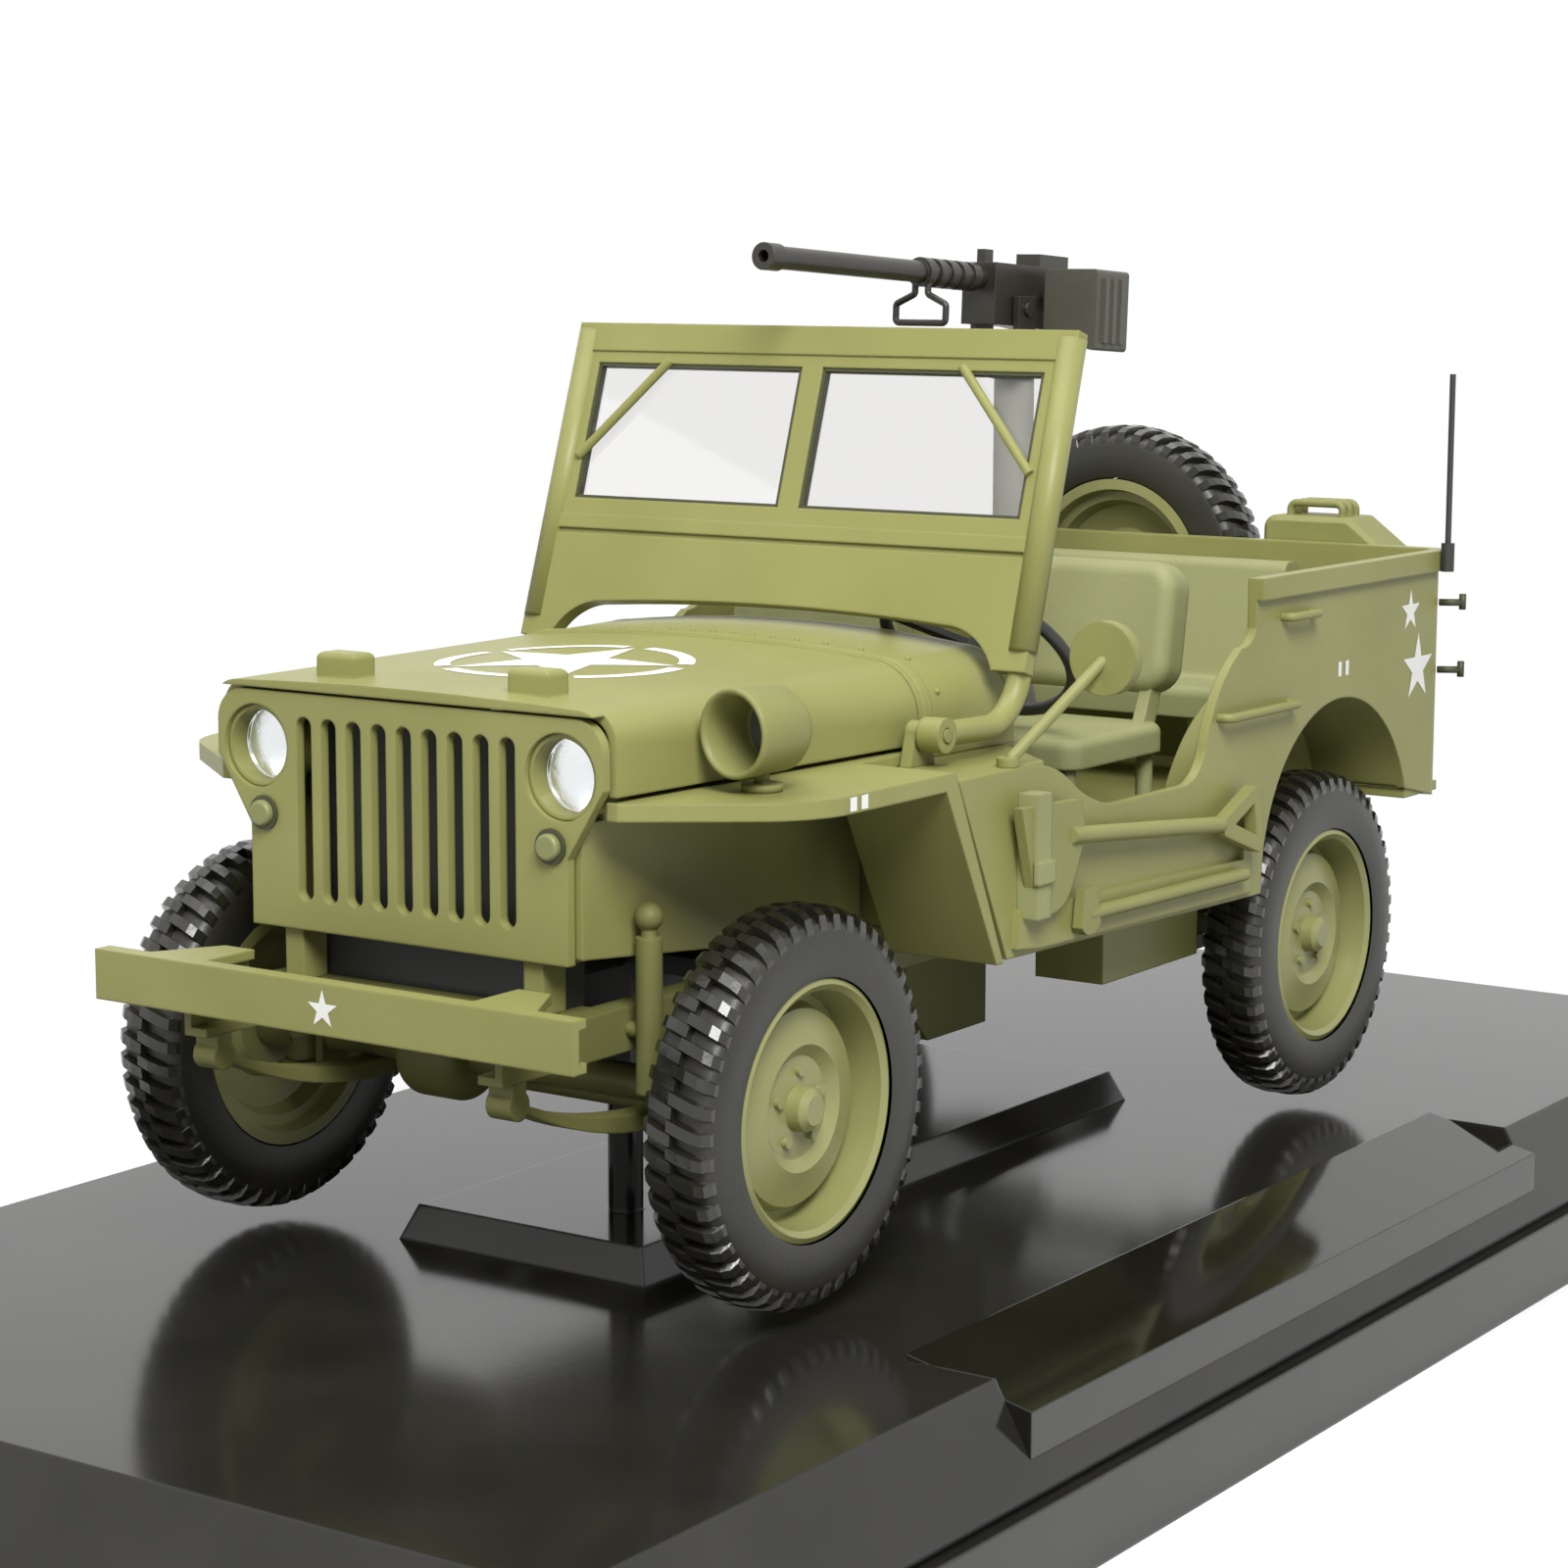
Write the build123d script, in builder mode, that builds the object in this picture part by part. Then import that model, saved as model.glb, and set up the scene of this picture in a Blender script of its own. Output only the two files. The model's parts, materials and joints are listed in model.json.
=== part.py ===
from build123d import *
import os
from math import atan2, cos, degrees, hypot, radians, sin

# Die-cast scale model of an open army 4x4 car, carried on a display plinth by two posts.
# Millimetres. +Z is up, the car's nose points to -Y and its left side to +X.
# The origin is the centre of the plinth's underside.

os.makedirs("parts", exist_ok=True)

# Driving sizes of the plinth
PLINTH_HEIGHT = 20.0
PLINTH_SLAB_HEIGHT = 9.0
PLINTH_GROOVE = 1.0
PLINTH_HALF_WIDTH = 68.0
PLINTH_HALF_LENGTH = 139.5
PLINTH_LEDGE = 1.0
PLINTH_BEVEL = 5.5
WHEEL_HANG = 1.5

# Driving sizes of the car
WHEELBASE = 112.9
HALF_TRACK = 34.5
TYRE_RADIUS = 20.3
TYRE_WIDTH = 8.0
RIM_RADIUS = 13.2
FRONT_AXLE_Y = -62.0
SHEET = 1.2
SEAM = 0.3
RUN_CLEARANCE = 0.06

ROAD_Z = PLINTH_HEIGHT + WHEEL_HANG
AXLE_HEIGHT = TYRE_RADIUS


# Places on the car are given as (x, aft, high): aft is measured back from the front axle,
# high is measured up from the lowest point of the tyres.
def aft(distance):
    return FRONT_AXLE_Y + distance


def high(height):
    return ROAD_Z + height


def spot(x, back, up):
    return (x, aft(back), high(up))


def side_plane(x):
    return Plane(origin=(x, FRONT_AXLE_Y, ROAD_Z), x_dir=(0, 1, 0), z_dir=(1, 0, 0))


def cross_plane(back):
    return Plane(origin=(0, aft(back), ROAD_Z), x_dir=(1, 0, 0), z_dir=(0, -1, 0))


def level_plane(up):
    return Plane(origin=(0, FRONT_AXLE_Y, high(up)), x_dir=(1, 0, 0), z_dir=(0, 0, 1))


def finish(builder, name):
    builder.part.label = name
    export_step(builder.part, "parts/" + name + ".step")


def tube_along(points, radii, radius):
    with BuildPart() as tube:
        with BuildLine() as path:
            FilletPolyline(*points, radius=radii)
        with BuildSketch(path.line ^ 0):
            Circle(radius)
        sweep()
    return tube.part


def rod(start, end, radius):
    line = Vector(*end) - Vector(*start)
    with BuildPart() as bar:
        with BuildSketch(Plane(origin=start, z_dir=line.normalized())):
            Circle(radius)
        extrude(amount=line.length)
    return bar.part


# Display plinth: slab, shadow groove and bevelled top
TOP_HALF_WIDTH = PLINTH_HALF_WIDTH - PLINTH_LEDGE - PLINTH_BEVEL
TOP_HALF_LENGTH = PLINTH_HALF_LENGTH - PLINTH_LEDGE - PLINTH_BEVEL
BEVEL_BOTTOM = PLINTH_SLAB_HEIGHT + PLINTH_GROOVE
BEVEL_HEIGHT = PLINTH_HEIGHT - BEVEL_BOTTOM
GROOVE_DEPTH = 1.2

# Blank nameplate: a wedge let into the left edge of the plinth
PLATE_INNER_X = PLINTH_HALF_WIDTH - 16.5
PLATE_OUTER_X = PLINTH_HALF_WIDTH - 2.5
PLATE_FRONT = -4.5
PLATE_LENGTH = 120.0
PLATE_PROUD = 0.6
PLATE_DROP = 3.2
PLATE_DEPTH = 3.0
PLATE_TOP = PLINTH_HEIGHT + PLATE_PROUD
BEVEL_SLOPE = BEVEL_HEIGHT / PLINTH_BEVEL
PLATE_FOOT = BEVEL_BOTTOM + (PLINTH_HALF_WIDTH - PLINTH_LEDGE - PLATE_OUTER_X) * BEVEL_SLOPE

with BuildPart() as nameplate:
    with BuildSketch(Plane(origin=(0, aft(PLATE_FRONT + PLATE_LENGTH), 0), x_dir=(1, 0, 0), z_dir=(0, -1, 0))):
        with BuildLine():
            Polyline(
                (PLATE_INNER_X, PLATE_TOP),
                (PLATE_OUTER_X, PLATE_TOP - PLATE_DROP),
                (PLATE_OUTER_X, PLATE_FOOT),
                (PLATE_INNER_X, PLATE_TOP - PLATE_DEPTH),
                close=True,
            )
        make_face()
    extrude(amount=PLATE_LENGTH)

with BuildPart() as plinth:
    with BuildSketch():
        Rectangle(2 * PLINTH_HALF_WIDTH, 2 * PLINTH_HALF_LENGTH)
    extrude(amount=PLINTH_SLAB_HEIGHT)
    with BuildSketch(Plane.XY.offset(PLINTH_SLAB_HEIGHT)):
        Rectangle(
            2 * (PLINTH_HALF_WIDTH - PLINTH_LEDGE - GROOVE_DEPTH),
            2 * (PLINTH_HALF_LENGTH - PLINTH_LEDGE - GROOVE_DEPTH),
        )
    extrude(amount=PLINTH_GROOVE)
    with BuildSketch(Plane.XY.offset(BEVEL_BOTTOM)):
        Rectangle(2 * (PLINTH_HALF_WIDTH - PLINTH_LEDGE), 2 * (PLINTH_HALF_LENGTH - PLINTH_LEDGE))
    extrude(amount=BEVEL_HEIGHT, taper=degrees(atan2(PLINTH_BEVEL, BEVEL_HEIGHT)))
    # The plate lies in a recess that is open above it
    with BuildSketch(Plane(origin=(0, aft(PLATE_FRONT + PLATE_LENGTH), 0), x_dir=(1, 0, 0), z_dir=(0, -1, 0))):
        with BuildLine():
            Polyline(
                (PLATE_INNER_X, PLATE_TOP),
                (PLATE_OUTER_X, PLATE_TOP),
                (PLATE_OUTER_X, PLATE_FOOT),
                (PLATE_INNER_X, PLATE_TOP - PLATE_DEPTH),
                close=True,
            )
        make_face()
    extrude(amount=PLATE_LENGTH, mode=Mode.SUBTRACT)
finish(plinth, "plinth")
finish(nameplate, "nameplate")

# Raised pad on the plinth with the two posts that carry the car
PAD_HALF_WIDTH = 15.0
PAD_FRONT = 1.7
PAD_BACK = 100.0
PAD_HEIGHT = 3.8
PAD_TAPER = 22.0
POST_RADIUS = 1.9
FRONT_POST = (4.5, 13.0)
REAR_POST = (0.0, 70.0)
ENGINE_SUMP_BOTTOM = 16.0
SKID_BOTTOM = 12.0

with BuildPart() as plinth_pad:
    with BuildSketch(Plane.XY.offset(PLINTH_HEIGHT)):
        with Locations((0, aft((PAD_FRONT + PAD_BACK) / 2))):
            Rectangle(2 * PAD_HALF_WIDTH + 3.0, PAD_BACK - PAD_FRONT + 3.0)
    extrude(amount=PAD_HEIGHT, taper=PAD_TAPER)
    for (post_x, post_back), post_top in ((FRONT_POST, ENGINE_SUMP_BOTTOM), (REAR_POST, SKID_BOTTOM)):
        with BuildSketch(Plane.XY.offset(PLINTH_HEIGHT + PAD_HEIGHT)):
            with Locations((post_x, aft(post_back))):
                Circle(POST_RADIUS)
        extrude(amount=high(post_top) - PLINTH_HEIGHT - PAD_HEIGHT)
finish(plinth_pad, "plinth_pad")

# Ladder frame: two channel rails, cross members and the horns that carry the bumper
RAIL_INNER_X = 17.6
RAIL_WIDTH = 3.0
RAIL_BOTTOM = 25.5
RAIL_HEIGHT = 4.5
RAIL_WEB = 0.9
FRAME_FRONT = -27.6
FRAME_BACK = 138.8
CROSS_MEMBERS = (-12.0, 34.0, 74.0, 136.8)
CROSS_WIDTH = 4.0
RAIL_OUTER_X = RAIL_INNER_X + RAIL_WIDTH
RAIL_MID_X = RAIL_INNER_X + RAIL_WIDTH / 2
RAIL_TOP = RAIL_BOTTOM + RAIL_HEIGHT

with BuildPart() as frame_rails:
    with BuildSketch(level_plane(RAIL_BOTTOM)):
        for side in (-1, 1):
            with Locations((side * RAIL_MID_X, (FRAME_FRONT + FRAME_BACK) / 2)):
                Rectangle(RAIL_WIDTH, FRAME_BACK - FRAME_FRONT)
        for back in CROSS_MEMBERS:
            with Locations((0, back)):
                Rectangle(2 * RAIL_MID_X, CROSS_WIDTH)
    extrude(amount=RAIL_HEIGHT)
    # The rails are channels, open to the inside
    with BuildSketch(cross_plane(FRAME_BACK)):
        for side in (-1, 1):
            with Locations((side * (RAIL_INNER_X + (RAIL_WIDTH - RAIL_WEB) / 2), RAIL_BOTTOM + RAIL_HEIGHT / 2)):
                Rectangle(RAIL_WIDTH - RAIL_WEB, RAIL_HEIGHT - 2 * RAIL_WEB)
    extrude(amount=FRAME_BACK - FRAME_FRONT, mode=Mode.SUBTRACT)
    for side in (-1, 1):
        for back in CROSS_MEMBERS:
            with BuildSketch(level_plane(RAIL_BOTTOM + RAIL_WEB)):
                with Locations((side * RAIL_MID_X, back)):
                    Rectangle(RAIL_WIDTH, CROSS_WIDTH)
            extrude(amount=RAIL_HEIGHT - 2 * RAIL_WEB)
finish(frame_rails, "frame_rails")

# Front bumper: a flat channel with two gussets that reach back to the rails
BUMPER_FRONT = -29.8
BUMPER_HALF_WIDTH = 30.8
BUMPER_BOTTOM = 28.4
BUMPER_HEIGHT = 5.2
BUMPER_DEPTH = 2.1
BUMPER_WALL = 1.0
GUSSET_LENGTH = 9.0
GUSSET_THICK = 1.0

with BuildPart() as front_bumper:
    with BuildSketch(side_plane(-BUMPER_HALF_WIDTH)):
        with Locations((BUMPER_FRONT + BUMPER_DEPTH / 2, BUMPER_BOTTOM + BUMPER_HEIGHT / 2)):
            Rectangle(BUMPER_DEPTH, BUMPER_HEIGHT)
        with Locations((BUMPER_FRONT + BUMPER_DEPTH / 2 + BUMPER_WALL, BUMPER_BOTTOM + BUMPER_HEIGHT / 2)):
            Rectangle(BUMPER_DEPTH, BUMPER_HEIGHT - 2 * BUMPER_WALL, mode=Mode.SUBTRACT)
    extrude(amount=2 * BUMPER_HALF_WIDTH)
    # Gussets stand on the outer faces of the frame horns
    for side in (-1, 1):
        with BuildSketch(level_plane(BUMPER_BOTTOM + BUMPER_HEIGHT - GUSSET_THICK)):
            with BuildLine():
                Polyline(
                    (side * (RAIL_INNER_X - 0.4), BUMPER_FRONT + BUMPER_WALL),
                    (side * (RAIL_OUTER_X + 5.0), BUMPER_FRONT + BUMPER_WALL),
                    (side * (RAIL_OUTER_X + 0.6), BUMPER_FRONT + GUSSET_LENGTH),
                    (side * (RAIL_INNER_X - 0.4), BUMPER_FRONT + GUSSET_LENGTH),
                    close=True,
                )
            make_face()
        extrude(amount=GUSSET_THICK)
        with BuildSketch(level_plane(RAIL_TOP)):
            with Locations((side * RAIL_MID_X, BUMPER_FRONT + (BUMPER_DEPTH + GUSSET_LENGTH) / 2)):
                Rectangle(RAIL_WIDTH - 0.8, GUSSET_LENGTH - BUMPER_DEPTH)
        extrude(amount=BUMPER_BOTTOM + BUMPER_HEIGHT - RAIL_TOP)
finish(front_bumper, "front_bumper")

# Leaf springs under the rails, with hooked shackles at the front
SPRING_X = RAIL_MID_X
SPRING_WIDTH = 3.0
SPRING_THICK = 1.9
SPRING_REACH = 25.0
AXLE_TUBE_RADIUS = 1.8
SPRING_EYE_RADIUS = 1.5
SPRING_MID = AXLE_HEIGHT - AXLE_TUBE_RADIUS - SPRING_THICK
SPRING_END = RAIL_BOTTOM - 2.6

with BuildPart() as leaf_springs:
    for axle_back in (0.0, WHEELBASE):
        for side in (-1, 1):
            with BuildSketch(side_plane(side * SPRING_X - SPRING_WIDTH / 2)):
                with BuildLine():
                    low = ThreePointArc(
                        (axle_back - SPRING_REACH, SPRING_END),
                        (axle_back, SPRING_MID),
                        (axle_back + SPRING_REACH, SPRING_END),
                    )
                    high_line = ThreePointArc(
                        (axle_back - SPRING_REACH, SPRING_END + 0.7),
                        (axle_back, SPRING_MID + SPRING_THICK),
                        (axle_back + SPRING_REACH, SPRING_END + 0.7),
                    )
                    Line(low @ 0, high_line @ 0)
                    Line(low @ 1, high_line @ 1)
                make_face()
                for end in (-1, 1):
                    with Locations((axle_back + end * SPRING_REACH, SPRING_END + 0.35)):
                        Circle(SPRING_EYE_RADIUS)
                    # Shackle plates run up to the rail
                    with Locations((axle_back + end * SPRING_REACH, (SPRING_END + RAIL_BOTTOM) / 2)):
                        Rectangle(2.0, RAIL_BOTTOM - SPRING_END)
            extrude(amount=SPRING_WIDTH)
finish(leaf_springs, "leaf_springs")

# Axles: a tube with a differential bowl, offset to the car's right at the front
DIFF_RADIUS = 5.0
DIFF_LENGTH = 8.5
FRONT_DIFF_X = -9.0
KINGPIN_X = 29.5
FRONT_TUBE_END = KINGPIN_X - 3.4
HUB_RADIUS = 2.6
HUB_REACH = HALF_TRACK - 0.35
REAR_HUB_X = KINGPIN_X - 0.5

with BuildPart() as front_axle:
    with BuildSketch(side_plane(-FRONT_TUBE_END)):
        with Locations((0, AXLE_HEIGHT)):
            Circle(AXLE_TUBE_RADIUS)
    extrude(amount=2 * FRONT_TUBE_END)
    with BuildSketch(side_plane(FRONT_DIFF_X - DIFF_LENGTH / 2)):
        with Locations((0, AXLE_HEIGHT)):
            Circle(DIFF_RADIUS)
    extrude(amount=DIFF_LENGTH)
    fillet(front_axle.part.faces().filter_by(GeomType.PLANE).edges().filter_by(GeomType.CIRCLE)
           .filter_by(lambda e: abs(e.radius - DIFF_RADIUS) < 0.01), radius=2.0)
    # Ears hold each kingpin above and below the knuckle
    for side in (-1, 1):
        with BuildSketch(cross_plane(2.0)):
            with BuildLine():
                Polyline(
                    (side * (FRONT_TUBE_END - 1.0), AXLE_HEIGHT - 4.6),
                    (side * (KINGPIN_X + 1.4), AXLE_HEIGHT - 4.6),
                    (side * (KINGPIN_X + 1.4), AXLE_HEIGHT - 3.4),
                    (side * FRONT_TUBE_END, AXLE_HEIGHT - 3.4),
                    (side * FRONT_TUBE_END, AXLE_HEIGHT + 3.4),
                    (side * (KINGPIN_X + 1.4), AXLE_HEIGHT + 3.4),
                    (side * (KINGPIN_X + 1.4), AXLE_HEIGHT + 4.6),
                    (side * (FRONT_TUBE_END - 1.0), AXLE_HEIGHT + 4.6),
                    close=True,
                )
            make_face()
        extrude(amount=4.0)
finish(front_axle, "front_axle")

with BuildPart() as rear_axle:
    with BuildSketch(side_plane(-REAR_HUB_X)):
        with Locations((WHEELBASE, AXLE_HEIGHT)):
            Circle(AXLE_TUBE_RADIUS)
    extrude(amount=2 * REAR_HUB_X)
    for side in (-1, 1):
        with BuildSketch(side_plane(min(side * REAR_HUB_X, side * HUB_REACH))):
            with Locations((WHEELBASE, AXLE_HEIGHT)):
                Circle(HUB_RADIUS)
        extrude(amount=HUB_REACH - REAR_HUB_X)
    with BuildSketch(side_plane(FRONT_DIFF_X - DIFF_LENGTH / 2)):
        with Locations((WHEELBASE, AXLE_HEIGHT)):
            Circle(DIFF_RADIUS)
    extrude(amount=DIFF_LENGTH)
    fillet(rear_axle.part.faces().filter_by(GeomType.PLANE).edges().filter_by(GeomType.CIRCLE)
           .filter_by(lambda e: abs(e.radius - DIFF_RADIUS) < 0.01), radius=2.0)
finish(rear_axle, "rear_axle")

# Upright dampers with ball tops, outboard of the rails
SHOCK_X = 23.0
SHOCK_RADIUS = 1.35
SHOCKS = (
    # back, foot height, top height
    (-7.5, 21.5, 40.5),
    (WHEELBASE + 7.5, 21.5, 33.5),
)

with BuildPart() as shock_absorbers:
    for back, foot, top in SHOCKS:
        for side in (-1, 1):
            with BuildSketch(level_plane(foot)):
                with Locations((side * SHOCK_X, back)):
                    Circle(SHOCK_RADIUS)
            extrude(amount=top - foot - 3.2)
            with BuildSketch(level_plane(top - 3.2)):
                with Locations((side * SHOCK_X, back)):
                    Circle(0.8)
            extrude(amount=2.0)
            with Locations(spot(side * SHOCK_X, back, top - 1.2)):
                Sphere(SHOCK_RADIUS + 0.1)
            # A pin joins the damper to its rail
            with BuildSketch(side_plane(min(side * SHOCK_X, side * RAIL_OUTER_X))):
                with Locations((back, RAIL_BOTTOM + RAIL_HEIGHT / 2)):
                    Circle(0.8)
            extrude(amount=SHOCK_X - RAIL_OUTER_X)
finish(shock_absorbers, "shock_absorbers")

# Engine block with its sump, and the radiator behind the grille
ENGINE_HALF_WIDTH = 8.5
ENGINE_FRONT = -4.0
ENGINE_BACK = 30.0
ENGINE_TOP = 55.0
SUMP_HALF_WIDTH = 7.0
SUMP_FRONT = 10.6

with BuildPart() as engine_block:
    with BuildSketch(level_plane(RAIL_TOP + SEAM)):
        with Locations((0, (ENGINE_FRONT + ENGINE_BACK) / 2)):
            Rectangle(2 * ENGINE_HALF_WIDTH, ENGINE_BACK - ENGINE_FRONT)
    extrude(amount=ENGINE_TOP - RAIL_TOP - SEAM)
    with BuildSketch(level_plane(ENGINE_SUMP_BOTTOM)):
        with Locations((0, (ENGINE_BACK + SUMP_FRONT) / 2)):
            Rectangle(2 * SUMP_HALF_WIDTH, ENGINE_BACK - SUMP_FRONT)
    extrude(amount=RAIL_TOP + SEAM - ENGINE_SUMP_BOTTOM)
    # Mounting feet stand on the rails
    with BuildSketch(level_plane(RAIL_TOP)):
        with Locations((0, 10.0)):
            Rectangle(2 * RAIL_MID_X, 5.0)
    extrude(amount=2.0)
finish(engine_block, "engine_block")

RADIATOR_HALF_WIDTH = 16.5
RADIATOR_BACK = -9.5
RADIATOR_THICK = 3.0
RADIATOR_TOP = 57.6

with BuildPart() as radiator:
    with BuildSketch(cross_plane(RADIATOR_BACK)):
        with Locations((0, (RAIL_TOP + RADIATOR_TOP) / 2)):
            Rectangle(2 * RADIATOR_HALF_WIDTH, RADIATOR_TOP - RAIL_TOP)
    extrude(amount=RADIATOR_THICK)
finish(radiator, "radiator")

# Skid plate under the transfer case
SKID_HALF_WIDTH = 10.0
SKID_FRONT = 60.0
SKID_BACK = 78.0
SKID_SLOPE = 5.0

with BuildPart() as skid_plate:
    with BuildSketch(side_plane(-SKID_HALF_WIDTH)):
        with BuildLine():
            Polyline(
                (SKID_FRONT, RAIL_BOTTOM + 2.0),
                (SKID_FRONT, SKID_BOTTOM + SKID_SLOPE),
                (SKID_FRONT + SKID_SLOPE, SKID_BOTTOM),
                (SKID_BACK, SKID_BOTTOM),
                (SKID_BACK, RAIL_BOTTOM),
                (CROSS_MEMBERS[2] + CROSS_WIDTH / 2, RAIL_BOTTOM),
                (CROSS_MEMBERS[2] - CROSS_WIDTH / 2, RAIL_BOTTOM),
                close=True,
            )
        make_face()
    extrude(amount=2 * SKID_HALF_WIDTH)
finish(skid_plate, "skid_plate")

# Bonnet and cowl share one section
BONNET_FRONT = -17.6
BONNET_BACK = 33.0
BONNET_FRONT_HALF = 25.3
BONNET_BACK_HALF = 28.5
BONNET_HEM = 52.3
BONNET_SHEET = 1.0
BONNET_SECTIONS = (
    # back, half width, shoulder radius, edge height, crown height
    (BONNET_FRONT, BONNET_FRONT_HALF, 3.2, 60.7, 61.2),
    (BONNET_BACK, BONNET_BACK_HALF, 6.0, 61.0, 62.0),
)
GRILLE_FRONT = -17.3
GRILLE_SHEET = 1.2
GRILLE_BACK = GRILLE_FRONT + GRILLE_SHEET
GRILLE_TOP = 59.8
GRILLE_BOTTOM = 35.5


def hood_outline(half, corner, edge, crown, hem):
    with BuildLine() as outline:
        left = Line((-half, hem), (-half, edge - corner))
        RadiusArc(left @ 1, (-half + corner, edge), corner)
        ThreePointArc((-half + corner, edge), (0, crown), (half - corner, edge))
        RadiusArc((half - corner, edge), (half, edge - corner), corner)
        Line((half, edge - corner), (half, hem))
        Line((half, hem), (-half, hem))
    return outline.line


def hood_skin(first, last, sheet, hem, lip):
    with BuildPart() as skin:
        for back, half, corner, edge, crown in (first, last):
            with BuildSketch(cross_plane(back)):
                add(hood_outline(half, corner, edge, crown, hem))
                make_face()
        loft(ruled=True)
        steps = (
            # back, share of the way from the first section to the last
            (first[0] + lip, lip / (last[0] - first[0])),
            (last[0] + 1.0, 1.0 + 1.0 / (last[0] - first[0])),
        )
        for back, share in steps:
            half, corner, edge, crown = (a + (b - a) * share for a, b in zip(first[1:], last[1:]))
            with BuildSketch(cross_plane(back)):
                add(hood_outline(half - sheet, corner - sheet, edge - sheet, crown - sheet, hem - 1.0))
                make_face()
        loft(ruled=True, mode=Mode.SUBTRACT)
    return skin.part


BLOCK_X = 12.5
BLOCK_BACK = -11.5
BLOCK_TOP = 63.6
BLOCK_WIDTH = 5.0
BLOCK_LENGTH = 3.2

with BuildPart() as bonnet:
    add(hood_skin(BONNET_SECTIONS[0], BONNET_SECTIONS[1], BONNET_SHEET, BONNET_HEM, BONNET_SHEET))
    # The front edge laps over the top of the grille
    with BuildSketch(side_plane(-BONNET_BACK_HALF)):
        with Locations((BONNET_FRONT, BONNET_HEM)):
            Rectangle(
                2 * (GRILLE_BACK + SEAM - BONNET_FRONT),
                2 * (GRILLE_TOP + SEAM - BONNET_HEM),
            )
    extrude(amount=2 * BONNET_BACK_HALF, mode=Mode.SUBTRACT)
    # Two blocks take the folded windscreen
    for side in (-1, 1):
        with BuildSketch(cross_plane(BLOCK_BACK + BLOCK_LENGTH / 2)):
            with Locations((side * BLOCK_X, (BLOCK_TOP + BONNET_SECTIONS[0][3] - 0.5) / 2)):
                Rectangle(BLOCK_WIDTH, BLOCK_TOP - BONNET_SECTIONS[0][3] + 0.5)
        extrude(amount=BLOCK_LENGTH)
    fillet(bonnet.part.faces().sort_by(Axis.Z)[-2:].edges(), radius=0.7)
finish(bonnet, "bonnet")

# Cowl behind the bonnet, with the firewall and the instrument panel
COWL_BACK = 51.0
COWL_FRONT = BONNET_BACK + SEAM
COWL_SECTIONS = (
    (COWL_FRONT,) + BONNET_SECTIONS[1][1:],
    (COWL_BACK, 29.6, 6.5, 61.2, 62.6),
)
SHELF_TOP = 50.6
TUB_HALF_WIDTH = 40.3
FLOOR_TOP = 31.8
FIREWALL_FRONT = COWL_FRONT + 0.9
DASH_BOTTOM = 53.0

with BuildPart() as cowl:
    add(hood_skin(COWL_SECTIONS[0], COWL_SECTIONS[1], SHEET, SHELF_TOP + 0.05, SHEET))
    with BuildSketch(cross_plane(COWL_BACK)):
        back, half, corner, edge, crown = COWL_SECTIONS[1]
        add(hood_outline(half, corner, edge, crown, DASH_BOTTOM))
        make_face()
    extrude(amount=SHEET)
    with BuildSketch(cross_plane(FIREWALL_FRONT + SHEET)):
        with Locations((0, (FLOOR_TOP + SHELF_TOP - SHEET) / 2)):
            Rectangle(2 * (TUB_HALF_WIDTH - SHEET) - 0.2, SHELF_TOP - FLOOR_TOP - SHEET - 0.1)
        with Locations((0, SHELF_TOP)):
            Rectangle(2 * (BONNET_BACK_HALF - SHEET), 3.6)
    extrude(amount=SHEET)
    # Three round instruments stand a little proud of the panel
    with BuildSketch(cross_plane(COWL_BACK + 0.5)):
        for dial_x, dial_up, dial_radius in ((0, 57.5, 2.4), (-6.5, 57.5, 1.5), (6.5, 57.5, 1.5)):
            with Locations((dial_x, dial_up)):
                Circle(dial_radius)
    extrude(amount=0.8)
finish(cowl, "cowl")

# Grille panel: tapered plate with nine slots and two lamp openings
GRILLE_TOP_HALF = 24.9
GRILLE_LOW_HALF = 20.5
GRILLE_CORNER = 3.4
TAPER_TOP = 53.0
TAPER_BOTTOM = 46.0
SLOT_COUNT = 9
SLOT_PITCH = 3.29
SLOT_WIDTH = 2.0
SLOT_BOTTOM = 38.5
SLOT_TOP = 57.4
LAMP_X = 19.7
LAMP_HEIGHT = 54.0
LAMP_OPENING = 4.3
MARKER_X = 18.6
MARKER_HEIGHT = 47.2
FLANGE = 5.0
LEG_DEPTH = 3.2
INNER_PANEL_X = 20.2

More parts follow.
